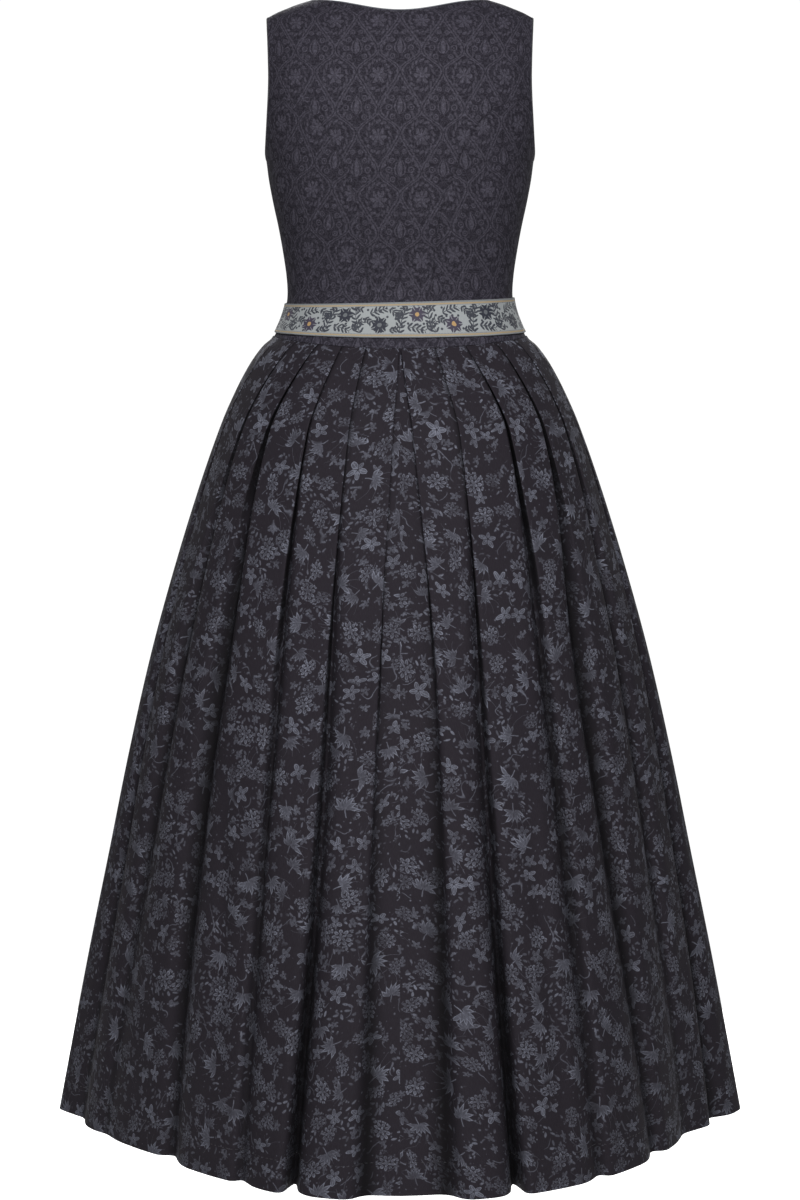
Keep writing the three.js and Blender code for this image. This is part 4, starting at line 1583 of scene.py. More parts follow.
@dataclass(frozen=True)
class FloralFinish:
    """The skirt's dark jacquard, strewn with heads, fans, clovers, leaves, stems and dots."""

    ground: tuple[float, ...] = (0.0220, 0.0180, 0.0236, 1)
    worn: tuple[float, ...] = (0.0160, 0.0138, 0.0190, 1)
    bright: tuple[float, ...] = (0.202, 0.212, 0.266, 1)
    # Colour of the shade painted into the folds; fold_shade is how strongly it is painted.
    painted_shade: tuple[float, ...] = (0.0030, 0.0026, 0.0034, 1)
    fold_shade: float = 0.92
    body: float = 0.32
    large_pitch: float = 42.0
    small_pitch: float = 39.0
    tiny_pitch: float = 38.0
    ring: float = 5.6
    spread: float = 0.46
    bit_pitch: float = 7.6
    stem_pitch: float = 30.0
    dot_pitch: float = 7.0
    weave: float = 0.62
    kinds: tuple[float, float, float] = (0.38, 0.68, 0.90)
    thread: tuple[float, ...] = (0.050, 0.050, 0.064, 1)

    def petal(self, rim: Signal, stroke: float, tip: Signal) -> Signal:
        """Draws petals as pale outlines, strongest at their tips, round a dimmer body.

        Args:
            rim: how far inside the petals' rim a place lies, below 0 outside.
            stroke: width of the outline.
            tip: how near the tip a place lies, from 0 to 1.

        Returns:
            The strokes' strength.
        """
        outline = rim.below(stroke, stroke * 0.4) * (tip * 0.85 + 0.15)
        return rim.above(0.0, stroke * 0.3) * (outline * (1 - self.body) + self.body)

    def head(self, g: Graph, m: Motif) -> Signal:
        """Draws a tilted head with rings of pointed petals.

        Args:
            g: the material's tree.
            m: the cells that it lies in.

        Returns:
            The strokes' strength.
        """
        y = m.y * (m.chance[2] * 0.45 + 1.1)
        r = (m.x * m.x + y * y).root()
        ring = (r / self.ring).floor()
        turn = (y.direction(m.x) / (2 * math.pi) + m.chance[2] + ring * 0.37) * (ring * 4.0 + 5.0)
        lot = g.lot(turn.floor(), ring, m.chance[2] * 91.0)
        across = abs(turn.fraction() - 0.5) * 2
        along = (r / self.ring).fraction()
        petals = self.petal(0.8 - across - along**3.0 * 0.8, 0.34, along)
        return petals * (lot * 0.5 + 0.5) * r.below(lot * 5.0 + 9.6, 0.4)

    def fan(self, g: Graph, m: Motif) -> Signal:
        """Draws a fan of long pointed petals on a curved stalk.

        Args:
            g: the material's tree.
            m: the cells that it lies in.

        Returns:
            The strokes' strength.
        """
        y = m.y * 1.15
        r = (m.x * m.x + y * y).root()
        bend = y.direction(m.x) + (r - 8.0) * 0.02
        sector = (bend / self.spread).rounded()
        lot = g.lot(sector, m.chance[2] * 57.0)
        turn = bend - sector * self.spread
        along, off = r * turn.cosine(), abs(r * turn.sine())
        t = g.clamp((along - 1.5) / (lot * 7.5 + 10.5))
        width = ((t**0.75) * math.pi).sine() * (lot * 0.7 + 2.1)
        blades = self.petal(width - off, 0.9, t) * (lot * 0.4 + 0.6) * abs(sector).below(3.3, 0.1)
        stalk = abs(m.y + m.x * m.x * 0.017).below(0.6, 0.25) * m.x.below(2.0, 0.4) * m.x.above(-8.0, 0.5)
        return blades * t.above(0.02, 0.02) | stalk * 0.5

    def clover(self, g: Graph, m: Motif) -> Signal:
        """Draws a blossom of five broad petals.

        Args:
            g: the material's tree.
            m: the cells that it lies in.

        Returns:
            The strokes' strength.
        """
        y = m.y * (m.chance[2] * 0.5 + 1.05)
        r = (m.x * m.x + y * y).root()
        turn = y.direction(m.x)
        lot = g.lot((turn * (2.5 / math.pi)).rounded(), m.chance[2] * 33.0)
        outline = (turn * 5.0).cosine() * (lot * 1.4 + 2.2) + (lot * 3.0 + 6.4) - r
        gap = abs((turn * 2.5).cosine()) * r * 0.4 - 0.3
        rib = (abs((turn * 2.5).sine()) * r * 0.4).below(0.5, 0.25) * outline.above(1.5, 0.5)
        petals = self.petal(outline & gap, 0.9, g.clamp(r / 8.0)) | rib * 0.7
        return petals * r.above(1.2, 0.3) * (lot * 0.4 + 0.6)

    def bits(self, g: Graph, place: Signal) -> Signal:
        """Draws small loose leaves between the motifs.

        Args:
            g: the material's tree.
            place: where on the cloth.

        Returns:
            The strokes' strength.
        """
        m = strewn(g, place, self.bit_pitch, (50.0, 9.0), 0.8)
        group = g.noise(g.vector_math("ADD", place, (20.0, 770.0, 0.0)), 26.0, 0.5).above(0.575, 0.02)
        leaf = (m.x * m.x / 9.0 + m.y * m.y / 1.6).below(1.0, 0.3)
        return leaf * group * (m.chance[1] * 0.35 + 0.2)

    def stems(self, g: Graph, place: Signal) -> Signal:
        """Draws short thin stems that wander between the motifs.

        Args:
            g: the material's tree.
            place: where on the cloth.

        Returns:
            The strokes' strength.
        """
        line = abs(g.noise(place, self.stem_pitch, 0.6) - 0.5)
        keep = g.noise(g.vector_math("ADD", place, (0.0, 300.0, 0.0)), 22.0, 0.0).above(0.60, 0.03)
        return line.below(0.009, 0.005) * keep * 0.36

    def dots(self, g: Graph, place: Signal) -> Signal:
        """Draws tiny dots.

        Args:
            g: the material's tree.
            place: where on the cloth.

        Returns:
            The dots' strength.
        """
        m = strewn(g, place, self.dot_pitch, (0.0, 0.0), 1.0)
        return m.r.below(m.chance[2] * 0.8 + 0.4, 0.25) * m.chance[1].above(0.7, 0.01) * 0.35

    def layer(
        self, g: Graph, place: Signal, pitch: float, shift: tuple[float, float]
    ) -> tuple[Signal, Signal]:
        """Strews heads, fans and clovers, one to a cell, with some cells left empty.

        Args:
            g: the material's tree.
            place: where on the cloth.
            pitch: how far apart the cells lie.
            shift: where they start.

        Returns:
            The strokes' strength, and the ground that the motifs take up.
        """
        m = strewn(g, place, pitch, shift, 0.72)
        kind = m.chance[1]
        heads, fans, clovers = self.kinds
        head = self.head(g, m) * kind.below(heads, HARD)
        fan = self.fan(g, m) * kind.above(heads, HARD) * kind.below(fans, HARD)
        clover = self.clover(g, m) * kind.above(fans, HARD) * kind.below(clovers, HARD)
        return head | fan | clover, m.r.below(11.5, 1.5) * kind.below(clovers, HARD)

    def make(self) -> bpy.types.Material:
        """Makes the material.

        Returns:
            The skirt's cloth.
        """
        g = Graph("floral_jacquard")
        flat = g.flat_cloth()
        place = g.warped(g.warped(flat, 60.0, 5.0), 5.0, 0.55)
        large, taken = self.layer(g, place, self.large_pitch, (11.0, 5.0))
        closer = g.vector_math("MULTIPLY", place, (1.15, 1.15, 1.0))
        small, crowded = self.layer(g, closer, self.small_pitch, (31.0, 430.0))
        closest = g.vector_math("MULTIPLY", place, (1.9, 1.9, 1.0))
        cells = strewn(g, closest, self.tiny_pitch, (310.0, 90.0), 0.8)
        tiny = self.clover(g, cells) * cells.chance[1].below(0.7, HARD)
        clear = 1.0 - taken
        fine = self.bits(g, place) | self.stems(g, place) | self.dots(g, place) | tiny * 0.62
        fine = fine * clear * (1.0 - crowded)
        drawn = large | small * 0.8 * clear | fine
        streak = g.noise(g.vector_math("MULTIPLY", place, (1.0, 0.6, 1.0)), 1.6, 2.0, 0.6)
        light = g.noise(flat, 23.0, 1.0)
        ink = g.clamp(drawn * (streak * 1.3 + 0.35) * (light * 1.5 + 0.3))
        wear = g.noise(flat, 150.0, 3.0)
        colour = g.mix(g.clamp(wear * 0.5), self.ground, self.worn)
        colour = g.mix(ink, colour, self.bright)
        thread = g.noise(g.vector_math("MULTIPLY", flat, (1.0, 0.18, 1.0)), 0.9, 1.0)
        colour = g.mix(g.clamp((thread - 0.35) * 0.3), colour, self.thread)
        # Painted shade: darkens the cloth in and beside its folds.
        fold = g.signal("ShaderNodeAttribute", {"attribute_name": "fold"}, {}, "Fac")
        colour = g.mix(g.clamp(fold * self.fold_shade), colour, self.painted_shade)
        x, y, _ = g.split(flat)
        twill = ((x + y * 0.6) * (2 * math.pi / self.weave)).sine()
        height = twill * 0.10 + thread * 0.25
        return g.surface(g.node("ShaderNodeBsdfPrincipled", {}, {
            "Base Color": colour,
            "Roughness": 0.80 - g.clamp(drawn) * 0.16 + thread * 0.06,
            "Normal": g.bumped(height, 0.35, 0.0004),
            "Specular IOR Level": 0.12,
        }))


@dataclass(frozen=True)
class DamaskFinish:
    """The bodice's dark damask: drops and rosettes in leafy ogees, tone on tone."""

    ground: tuple[float, ...] = (0.0135, 0.0120, 0.0175, 1)
    figure: tuple[float, ...] = (0.086, 0.080, 0.106, 1)
    # Colour of the shade painted along the seams.
    painted_shade: tuple[float, ...] = (0.0035, 0.0030, 0.0045, 1)
    wide: float = 49.5
    tall: float = 71.0
    hatch: float = 1.7
    curls: tuple[tuple[float, float, float], ...] = (
        (12.6, -2.0, 3.0), (8.6, -12.8, 2.6), (9.2, 8.6, 2.6), (4.6, 18.6, 2.2), (18.4, 3.6, 1.6),
    )

    def lattice(self, g: Graph, x: Signal, y: Signal) -> Signal:
        """Draws the leafy double bands of the ogees, which touch above and below each cell.

        Args:
            g: the material's tree, not used.
            x: place across the cloth.
            y: place up the cloth.

        Returns:
            The bands' strength.
        """
        turn = y * (2 * math.pi / self.tall)
        side = ((turn + turn.cosine() * 0.4).cosine() * 0.93 + 1.0) * (self.wide / 4)
        off = abs(abs(x.wrapped(self.wide)) - side)
        leafy = (y * (2 * math.pi / 5.0)).sine() * 0.5
        return (off + leafy).below(3.0, 0.5) * off.above(0.75, 0.35)

    def curl(self, g: Graph, px: Signal, py: Signal, row: tuple[float, float, float]) -> Signal:
        """Draws a small curl on either side of a cell's middle.

        Args:
            g: the material's tree, not used.
            px: place across, from the cell's middle.
            py: place up, from the cell's middle.
            row: its place across and up, and its radius.

        Returns:
            The curls' strength.
        """
        a, b = abs(px) - row[0], py - row[1]
        r = (a * a + b * b).root()
        return abs(r - row[2]).below(0.75, 0.35) | r.below(0.9, 0.3)

    def wreath(self, g: Graph, px: Signal, py: Signal, radius: float, leaves: int) -> Signal:
        """Draws a ring of slanted leaves.

        Args:
            g: the material's tree, not used.
            px: place across, from the ring's middle.
            py: place up, from the ring's middle.
            radius: half its width.
            leaves: how many leaves it has.

        Returns:
            The leaves' strength.
        """
        tall = py / 1.32
        r = (px * px + tall * tall).root()
        turn = tall.direction(px)
        leaf = abs((turn * (leaves / 2) + (r - radius) * 0.5).sine())
        return (abs(r - radius) - leaf * 2.5 + 0.5).below(0.0, 0.4)

    def drops(self, g: Graph, x: Signal, y: Signal) -> Signal:
        """Draws the drops of every other cell, each with a heart, a dark line and curls beside it.

        Args:
            g: the material's tree.
            x: place across the cloth.
            y: place up the cloth.

        Returns:
            The drops' strength.
        """
        px, py = x.wrapped(self.wide), y.wrapped(self.tall)
        lean = g.clamp((py + 10.0) / 22.0)
        width = ((lean**0.7) * math.pi).sine() * 6.8 + 0.01
        edge = abs(px) / width
        body = edge.below(1.0, 0.08) * lean.above(0.02, 0.01) * lean.below(0.98, 0.01)
        line = abs(edge - 0.6).above(0.16, 0.08)
        drawn = body * line
        for row in self.curls:
            drawn = drawn | self.curl(g, px, py, row) * 0.9
        return drawn

    def rosettes(self, g: Graph, x: Signal, y: Signal) -> Signal:
        """Draws the leafy blossoms of the cells between, each in a wreath.

        Args:
            g: the material's tree.
            x: place across the cloth.
            y: place up the cloth.

        Returns:
            The blossoms' strength.
        """
        px = (x + self.wide / 2).wrapped(self.wide)
        py = (y + self.tall / 2).wrapped(self.tall)
        tall = py / 1.2
        r = (px * px + tall * tall).root()
        turn = tall.direction(abs(px))
        leaf = (r - (turn * 7.0).cosine() * 1.3).below(8.4, 0.4)
        veins = abs((turn * 3.5 + r * 0.08).cosine()).above(0.3, 0.15) | r.below(2.6, 0.4)
        tips = (abs(abs(px) - abs(py) * 0.4) - 1.4).below(0.0, 0.4) * abs(abs(py) - 25.0).below(3.6, 0.6)
        return (leaf * veins) | self.wreath(g, px, py, 13.4, 14) * 0.85 | tips * 0.8

    def make(self) -> bpy.types.Material:
        """Makes the material.

        Returns:
            The bodice's cloth.
        """
        g = Graph("damask")
        flat = g.flat_cloth()
        place = g.warped(flat, 5.0, 0.7)
        x, y, _ = g.split(place)
        figure = self.lattice(g, x, y) * 0.85 | self.drops(g, x, y) | self.rosettes(g, x, y)
        scrolls = abs((g.noise(flat, 7.5, 1.0) * 5.0).fraction() - 0.5) * 2.0
        cloudy = g.noise(flat, 3.2, 3.0, 0.65)
        thread = g.noise(g.vector_math("MULTIPLY", flat, (0.16, 1.0, 1.0)), 0.8, 1.0)
        fx, fy, _ = g.split(flat)
        hatch = ((fx + fy) * (2 * math.pi / self.hatch)).sine() * 0.5 + 0.5
        drawn = figure * (scrolls * 0.45 + 0.55) + (1.0 - figure) * scrolls * 0.42
        share = g.clamp(drawn * (cloudy * 1.6 - 0.1) + hatch * 0.07 + (thread - 0.5) * 0.2)
        colour = g.mix(share, self.ground, self.figure)
        # Painted shade: darkens the cloth along its seams.
        seam = g.signal("ShaderNodeAttribute", {"attribute_name": "fold"}, {}, "Fac")
        colour = g.mix(g.clamp(seam * 0.3), colour, self.painted_shade)
        height = hatch * 0.12 + thread * 0.25
        return g.surface(g.node("ShaderNodeBsdfPrincipled", {}, {
            "Base Color": colour,
            "Roughness": 0.82 - figure * 0.14 + thread * 0.06,
            "Normal": g.bumped(height, 0.3, 0.0004),
            "Specular IOR Level": 0.12,
        }))


@dataclass(frozen=True)
class RibbonFinish:
    """The belt's silver-grey woven ribbon, with flowers, leafy branches and tan borders."""

    ground: tuple[float, ...] = (0.345, 0.366, 0.374, 1)
    dark: tuple[float, ...] = (0.018, 0.020, 0.034, 1)
    plum: tuple[float, ...] = (0.048, 0.038, 0.066, 1)
    tan: tuple[float, ...] = (0.40, 0.29, 0.15, 1)
    ochre: tuple[float, ...] = (0.50, 0.31, 0.12, 1)
    cord: tuple[float, ...] = (0.15, 0.16, 0.17, 1)
    repeat: float = 84.0
    height: float = 40.5
    branches: tuple[tuple[float, ...], ...] = (
        (9.0, 12.0, -0.25, 19.0, 5.6),
        (40.0, 5.5, 1.85, 30.0, 6.4),
        (83.0, 5.5, 1.25, 30.0, 6.0),
        (50.0, 27.0, 0.35, 19.0, 5.8),
        (31.0, 9.5, 0.75, 13.0, 5.0),
        (73.0, 33.0, -0.75, 14.0, 5.0),
        (31.0, 34.5, -0.15, 9.0, 4.2),
        (8.0, 35.5, -2.40, 14.0, 4.6),
        (73.0, 7.5, 0.20, 9.0, 4.2),
        (44.0, 22.0, -0.60, 9.0, 4.0),
        (4.0, 26.0, -2.80, 8.0, 3.8),
    )

    def flower(
        self, g: Graph, x: Signal, y: Signal, at: tuple[float, float], size: float, petals: int
    ) -> tuple[Signal, Signal]:
        """Draws a flower.

        Args:
            g: the material's tree, not used.
            x: place along the ribbon.
            y: place up it.
            at: its centre, in the repeat.
            size: half its width.
            petals: how many petals it has.

        Returns:
            Its petals' strength, and its heart's.
        """
        px, py = (x - at[0]).wrapped(self.repeat), y - at[1]
        r = (px * px + py * py).root()
        turn = py.direction(px)
        edge = r / ((turn * float(petals)).cosine() * 0.13 + 0.87)
        gaps = abs((turn * (petals / 2)).sine()).above(0.14, 0.1) | r.below(size * 0.5, 0.3)
        heart = r.below(size * 0.25, 0.25)
        return edge.below(size, 0.3) * gaps * (1.0 - heart * 0.35), heart

    def branch(self, g: Graph, x: Signal, y: Signal, row: tuple[float, ...]) -> Signal:
        """Draws a branch with pairs of pointed leaves.

        Args:
            g: the material's tree, not used.
            x: place along the ribbon.
            y: place up it.
            row: its foot's two places, its turn in radians, its length and its leaves' length.

        Returns:
            Its strength.
        """
        foot_x, foot_y, lean, length, leaf = row
        px, py = (x - foot_x).wrapped(self.repeat), y - foot_y
        along = px * math.cos(lean) + py * math.sin(lean)
        off = py * math.cos(lean) - px * math.sin(lean) + along * (along - length) * 0.008
        side = abs(off)
        stem = side.below(0.4, 0.15) * along.above(0.0, 0.2) * along.below(length, 0.2)
        sheared = along - side * 0.8
        step = sheared.wrapped(leaf * 0.86)
        reach = leaf * 0.42
        away = side - reach - 0.3
        blade = (step * step / 1.7 + away * away / (reach * reach)).below(1.25, 0.25)
        kept = blade * sheared.above(-leaf * 0.3, 0.2) * sheared.below(length, 0.2)
        return stem | kept

    def make(self) -> bpy.types.Material:
        """Makes the material.

        Returns:
            The belt's ribbon.
        """
        g = Graph("woven_ribbon")
        flat = g.flat_cloth()
        x, y, _ = g.split(flat)
        px, py, _ = g.split(g.warped(flat, 5.5, 0.75))
        thread = g.noise(g.vector_math("MULTIPLY", flat, (1.0, 0.2, 1.0)), 0.7, 1.0)
        inner = y.above(4.6, 0.3) * y.below(self.height - 4.4, 0.3)
        high, high_heart = self.flower(g, px, py, (20.0, 26.0), 9.9, 6)
        low, low_heart = self.flower(g, px, py, (61.0, 14.2), 10.2, 7)
        flowers = high | low
        leaves = self.branch(g, px, py, self.branches[0])
        for row in self.branches[1:]:
            leaves = leaves | self.branch(g, px, py, row)
        m = strewn(g, flat, 7.5, (2.0, 3.0), 0.9)
        berries = m.r.below(1.4, 0.3) * m.chance[1].above(0.2, 0.01)
        leaves = (leaves | berries) * inner
        turned = (x - 41.0).wrapped(self.repeat * 2).above(0.0, 0.5)
        warm = g.mix(turned, self.dark, self.plum)
        cool = g.mix(turned, self.plum, self.dark)
        petals = g.mix(low.above(0.02, 0.02), cool, warm)
        colour = g.mix(g.clamp(leaves * (thread * 0.4 + 0.75)), self.ground, self.dark)
        colour = g.mix(flowers * inner, colour, petals)
        colour = g.mix((high_heart * (1.0 - turned) | low_heart * turned) * 0.9, colour, self.ochre)
        bands = (abs(y - 2.3) - 0.95).below(0.0, 0.2) | (abs(y - (self.height - 3.0)) - 0.85).below(0.0, 0.2)
        colour = g.mix(bands * 0.9, colour, self.tan)
        dots = abs(x.wrapped(1.6)).below(0.42, 0.15)
        rows = abs(y - 3.9).below(0.35, 0.15) | abs(y - (self.height - 4.5)).below(0.35, 0.15)
        rim = y.above(self.height - 1.8, 0.15) * (dots * 0.6 + 0.4) | y.below(0.8, 0.15)
        colour = g.mix(g.clamp(rows * dots * 0.75 + rim * 0.55), colour, self.dark)
        cord = (x * (2 * math.pi / 0.85)).sine() * 0.5 + 0.5
        colour = g.mix(g.clamp(cord * 0.10 + (thread - 0.4) * 0.3), colour, self.cord)
        ink = g.clamp(leaves + flowers)
        return g.surface(g.node("ShaderNodeBsdfPrincipled", {}, {
            "Base Color": colour,
            "Roughness": 0.68 - ink * 0.1 + thread * 0.08,
            "Normal": g.bumped(cord * 0.4 + thread * 0.3 + ink * 0.5, 0.4, 0.0004),
            "Specular IOR Level": 0.25,
            "Sheen Weight": 0.04,
            "Sheen Roughness": 0.4,
        }))


@dataclass(frozen=True)
class ThreadFinish:
    """Sewing thread or a turned edge of plain cloth."""

    name: str
    colour: tuple[float, ...]
    twist: float = 0.6

    def make(self) -> bpy.types.Material:
        """Makes the material.

        Returns:
            The thread or the plain cloth.
        """
        g = Graph(self.name)
        place = g.signal("ShaderNodeTexCoord", {}, {}, "Object")
        inputs = {"Vector": place, "Scale": 1 / (self.twist * MM), "Detail": 2.0}
        lumps = g.signal("ShaderNodeTexNoise", {}, inputs)
        pale = tuple(min(c * 1.5 + 0.01, 1) for c in self.colour[:3]) + (1,)
        colour = g.mix(g.clamp(lumps * 1.6 - 0.3), self.colour, pale)
        return g.surface(g.node("ShaderNodeBsdfPrincipled", {}, {
            "Base Color": colour,
            "Roughness": 0.6 + lumps * 0.2,
            "Normal": g.bumped(lumps, 0.4, 0.0002),
            "Sheen Weight": 0.15,
        }))


def disc(rim: np.ndarray) -> np.ndarray:
    """Fills a ring of vertices with strips of four-sided faces.

    Args:
        rim: the vertices' numbers, an even count of them.

    Returns:
        The faces.
    """
    last = len(rim) - 1
    return np.array([
        [rim[k], rim[k + 1], rim[last - 1 - k], rim[last - k]] for k in range(len(rim) // 2 - 1)
    ])


@dataclass
class EdgeRoll:
    """A narrow roll of turned cloth along an edge of the bodice."""

    name: str
    radius: float
    sides: int = 10

    def build(
        self, path: np.ndarray, normals: np.ndarray, finish: bpy.types.Material, closed: bool
    ) -> bpy.types.Object:
        """Builds the roll along a path.

        Args:
            path: points in millimetres.
            normals: the cloth's normals there.
            finish: its material.
            closed: True where the path's ends meet.

        Returns:
            The roll.
        """
        steps = np.roll(path, -1, 0) - np.roll(path, 1, 0) if closed else np.gradient(path, axis=0)
        along = unit(steps)
        side = unit(np.cross(along, normals))
        out = np.cross(side, along)
        turn = np.linspace(0, 2 * math.pi, self.sides, endpoint=False)
        ring = path[:, None] + self.radius * (
            np.cos(turn)[None, :, None] * out[:, None] + np.sin(turn)[None, :, None] * side[:, None]
        )
        ids = np.arange(len(path) * self.sides).reshape(-1, self.sides)
        after = np.roll(ids, -1, 0) if closed else ids[1:]
        here = ids if closed else ids[:-1]
        faces = np.stack([here, np.roll(here, -1, 1), np.roll(after, -1, 1), after], -1).reshape(-1, 4)
        if not closed:
            caps = np.concatenate([disc(ids[0]), disc(ids[-1][::-1])])
            faces = np.concatenate([faces, caps[:, ::-1]])
        made = make_object(self.name, ring.reshape(-1, 3) * MM, faces, np.zeros((faces.size, 2)))
        made.data.materials.append(finish)
        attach(made, BODY)
        return made


class StitchTree:
    """A Geometry Nodes tree that sews stitches along the curves that it is given."""

    def __init__(self) -> None:
        """Builds the tree with its named inputs."""
        self.tree = bpy.data.node_groups.new("stitch_run", "GeometryNodeTree")
        face = self.tree.interface
        face.new_socket("Geometry", in_out="INPUT", socket_type="NodeSocketGeometry")
        self.sockets = {
            name: face.new_socket(name, in_out="INPUT", socket_type=kind).identifier
            for name, kind in (
                ("Spacing", "NodeSocketFloat"),
                ("Stitch Length", "NodeSocketFloat"),
                ("Thickness", "NodeSocketFloat"),
                ("Unevenness", "NodeSocketFloat"),
                ("Seed", "NodeSocketInt"),
                ("Thread", "NodeSocketMaterial"),
            )
        }
        face.new_socket("Geometry", in_out="OUTPUT", socket_type="NodeSocketGeometry")
        self.wire()

    def add(self, kind: str, settings: dict[str, object], inputs: dict[str | int, object]) -> bpy.types.Node:
        """Adds a node to the tree.

        Args:
            kind: the node's type.
            settings: its own properties, set first.
            inputs: values or sockets for its inputs, by name or number.

        Returns:
            The node.
        """
        node = self.tree.nodes.new(kind)
        for name, value in settings.items():
            setattr(node, name, value)
        for key, value in inputs.items():
            if isinstance(value, bpy.types.NodeSocket):
                self.tree.links.new(value, node.inputs[key])
            else:
                node.inputs[key].default_value = value
        return node

    def wire(self) -> None:
        """Wires the nodes from the guide curves to the finished stitches."""
        given = self.tree.nodes.new("NodeGroupInput").outputs
        points = self.add("GeometryNodeCurveToPoints", {"mode": "LENGTH"}, {
            "Curve": given["Geometry"], "Length": given["Spacing"],
        })
        stitch = self.add("GeometryNodeMeshIcoSphere", {}, {"Radius": 0.5, "Subdivisions": 2})
        size = self.add("ShaderNodeCombineXYZ", {}, {
            "X": given["Thickness"], "Y": given["Thickness"], "Z": given["Stitch Length"],
        })
        shaped = self.add("GeometryNodeTransform", {}, {
            "Geometry": stitch.outputs["Mesh"], "Scale": size.outputs[0],
        })
        low, high = (
            self.add("ShaderNodeMath", {"operation": operation}, {0: 1.0, 1: given["Unevenness"]})
            for operation in ("SUBTRACT", "ADD")
        )
        chance = self.add("FunctionNodeRandomValue", {"data_type": "FLOAT_VECTOR"}, {
            0: low.outputs[0], 1: high.outputs[0], "Seed": given["Seed"],
        })
        placed = self.add("GeometryNodeInstanceOnPoints", {}, {
            "Points": points.outputs["Points"],
            "Instance": shaped.outputs["Geometry"],
            "Rotation": points.outputs["Rotation"],
            "Scale": chance.outputs[0],
        })
        real = self.add("GeometryNodeRealizeInstances", {}, {"Geometry": placed.outputs["Instances"]})
        dressed = self.add("GeometryNodeSetMaterial", {}, {
            "Geometry": real.outputs["Geometry"], "Material": given["Thread"],
        })
        out = self.tree.nodes.new("NodeGroupOutput")
        self.tree.links.new(dressed.outputs["Geometry"], out.inputs["Geometry"])

    def sew(
        self, name: str, runs: list[np.ndarray], sizes: dict[str, float], thread: bpy.types.Material
    ) -> bpy.types.Object:
        """Sews stitches along paths.

        Args:
            name: name of the piece.
            runs: the paths, in millimetres.
            sizes: values of the tree's named inputs, in metres.
            thread: the thread's material.

        Returns:
            One mesh of all the stitches.
        """
        curve = bpy.data.curves.new(f"{name}_guide", "CURVE")
        curve.dimensions = "3D"
        for run in runs:
            spline = curve.splines.new("POLY")
            spline.points.add(len(run) - 1)
            spline.points.foreach_set("co", np.c_[run * MM, np.ones(len(run))].astype(np.float32).ravel())
        guide = bpy.data.objects.new(f"{name}_guide", curve)
        bpy.context.scene.collection.objects.link(guide)
        modifier = guide.modifiers.new("stitches", "NODES")
        modifier.node_group = self.tree
        for key, value in sizes.items():
            modifier[self.sockets[key]] = value
        modifier[self.sockets["Thread"]] = thread
        graph = bpy.context.evaluated_depsgraph_get()
        mesh = bpy.data.meshes.new_from_object(guide.evaluated_get(graph))
        bpy.data.objects.remove(guide)
        made = bpy.data.objects.new(name, mesh)
        mesh.name = name
        if not mesh.materials:
            mesh.materials.append(thread)
        bpy.context.scene.collection.objects.link(made)
        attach(made, BODY)
        return made


NECK_SEWING = {"Spacing": 0.0034, "Stitch Length": 0.0026, "Thickness": 0.0005, "Unevenness": 0.08, "Seed": 7}
HEM_SEWING = {"Spacing": 0.0062, "Stitch Length": 0.0034, "Thickness": 0.0005, "Unevenness": 0.12, "Seed": 5}
BELT_SEWING = {**NECK_SEWING, "Thickness": 0.0004, "Seed": 11}


@dataclass
class Sewing:
    """The rolled edges of the bodice, and the stitches that show on the outside."""

    bodice: Bodice
    belt: Belt
    skirt: Skirt
    inset: float = 4.0
    ribbon_inset: float = 1.6
    ribbon_across: float = 38.0
    stand: float = 0.12
    ribbon_stand: float = 0.1
    armhole_roll: float = 1.35
    neck_roll: float = 1.15
    tree: StitchTree = field(default_factory=StitchTree)

    def both(self, run: np.ndarray) -> list[np.ndarray]:
        """Returns a path on the right and its mirror image on the left."""
        return [run, run * FLIP]

    def inside_edge(self, places: np.ndarray, inset: float) -> np.ndarray:
        """Lays a path beside an edge, just outside the cloth.

        Args:
            places: the edge's angles and heights.
            inset: how far from the edge it runs, to the left of the edge's own direction.

        Returns:
            Its points.
        """
        points, normals = FIGURE.bodice(places), FIGURE.bodice_normals(places)
        into = unit(np.cross(normals, unit(np.gradient(points, axis=0))))
        return points + into * inset + normals * self.stand

    def edges(self, dark: bpy.types.Material, edge: bpy.types.Material) -> list[bpy.types.Object]:
        """Builds the rolled edges of the armholes and the neck.

        Args:
            dark: finish of the armholes' edges.
            edge: finish of the neck's edge.

        Returns:
            The four rolls.
        """
        made = []
        for name, loop, radius, finish, closed in (
            ("armhole_edge", self.bodice.armhole_loop(), self.armhole_roll, dark, True),
            ("neck_edge", self.bodice.neck_loop(), self.neck_roll, edge, False),
        ):
            path, normals = self.bodice.edge_path(loop)
            for side, way, order in ((Side.RIGHT, np.ones(3), 1), (Side.LEFT, FLIP, -1)):
                roll = EdgeRoll(f"{name}_{side.value}", radius)
                made.append(roll.build((path * way)[::order], (normals * way)[::order], finish, closed))
        return made

    def build(
        self, dark: bpy.types.Material, pale: bpy.types.Material, edge: bpy.types.Material
    ) -> list[bpy.types.Object]:
        """Builds every edge and run of stitches.

        Args:
            dark: finish of the armholes' edges and the dark threads.
            pale: finish of the belt's thread.
            edge: finish of the neck's edge.

        Returns:
            The pieces.
        """
        made = self.edges(dark, edge)
        neck = self.inside_edge(self.bodice.neck_loop(), -self.inset)
        made.append(self.tree.sew("neck_stitches", self.both(neck), NECK_SEWING, dark))
        made.append(self.tree.sew("hem_stitches", self.skirt.hem_lines, HEM_SEWING, dark))
        cloth = self.belt.cloth()
        outside = cloth.points + cloth.normals * (self.belt.clearance + self.belt.wall + self.ribbon_stand)
        share = self.ribbon_inset / self.ribbon_across
        high, low = outside[0], outside[-1]
        rows = [high * (1 - share) + low * share, low * (1 - share) + high * share]
        made.append(self.tree.sew("belt_stitches", rows, BELT_SEWING, pale))
        LOG.info("sewing: %d pieces", len(made))
        return made


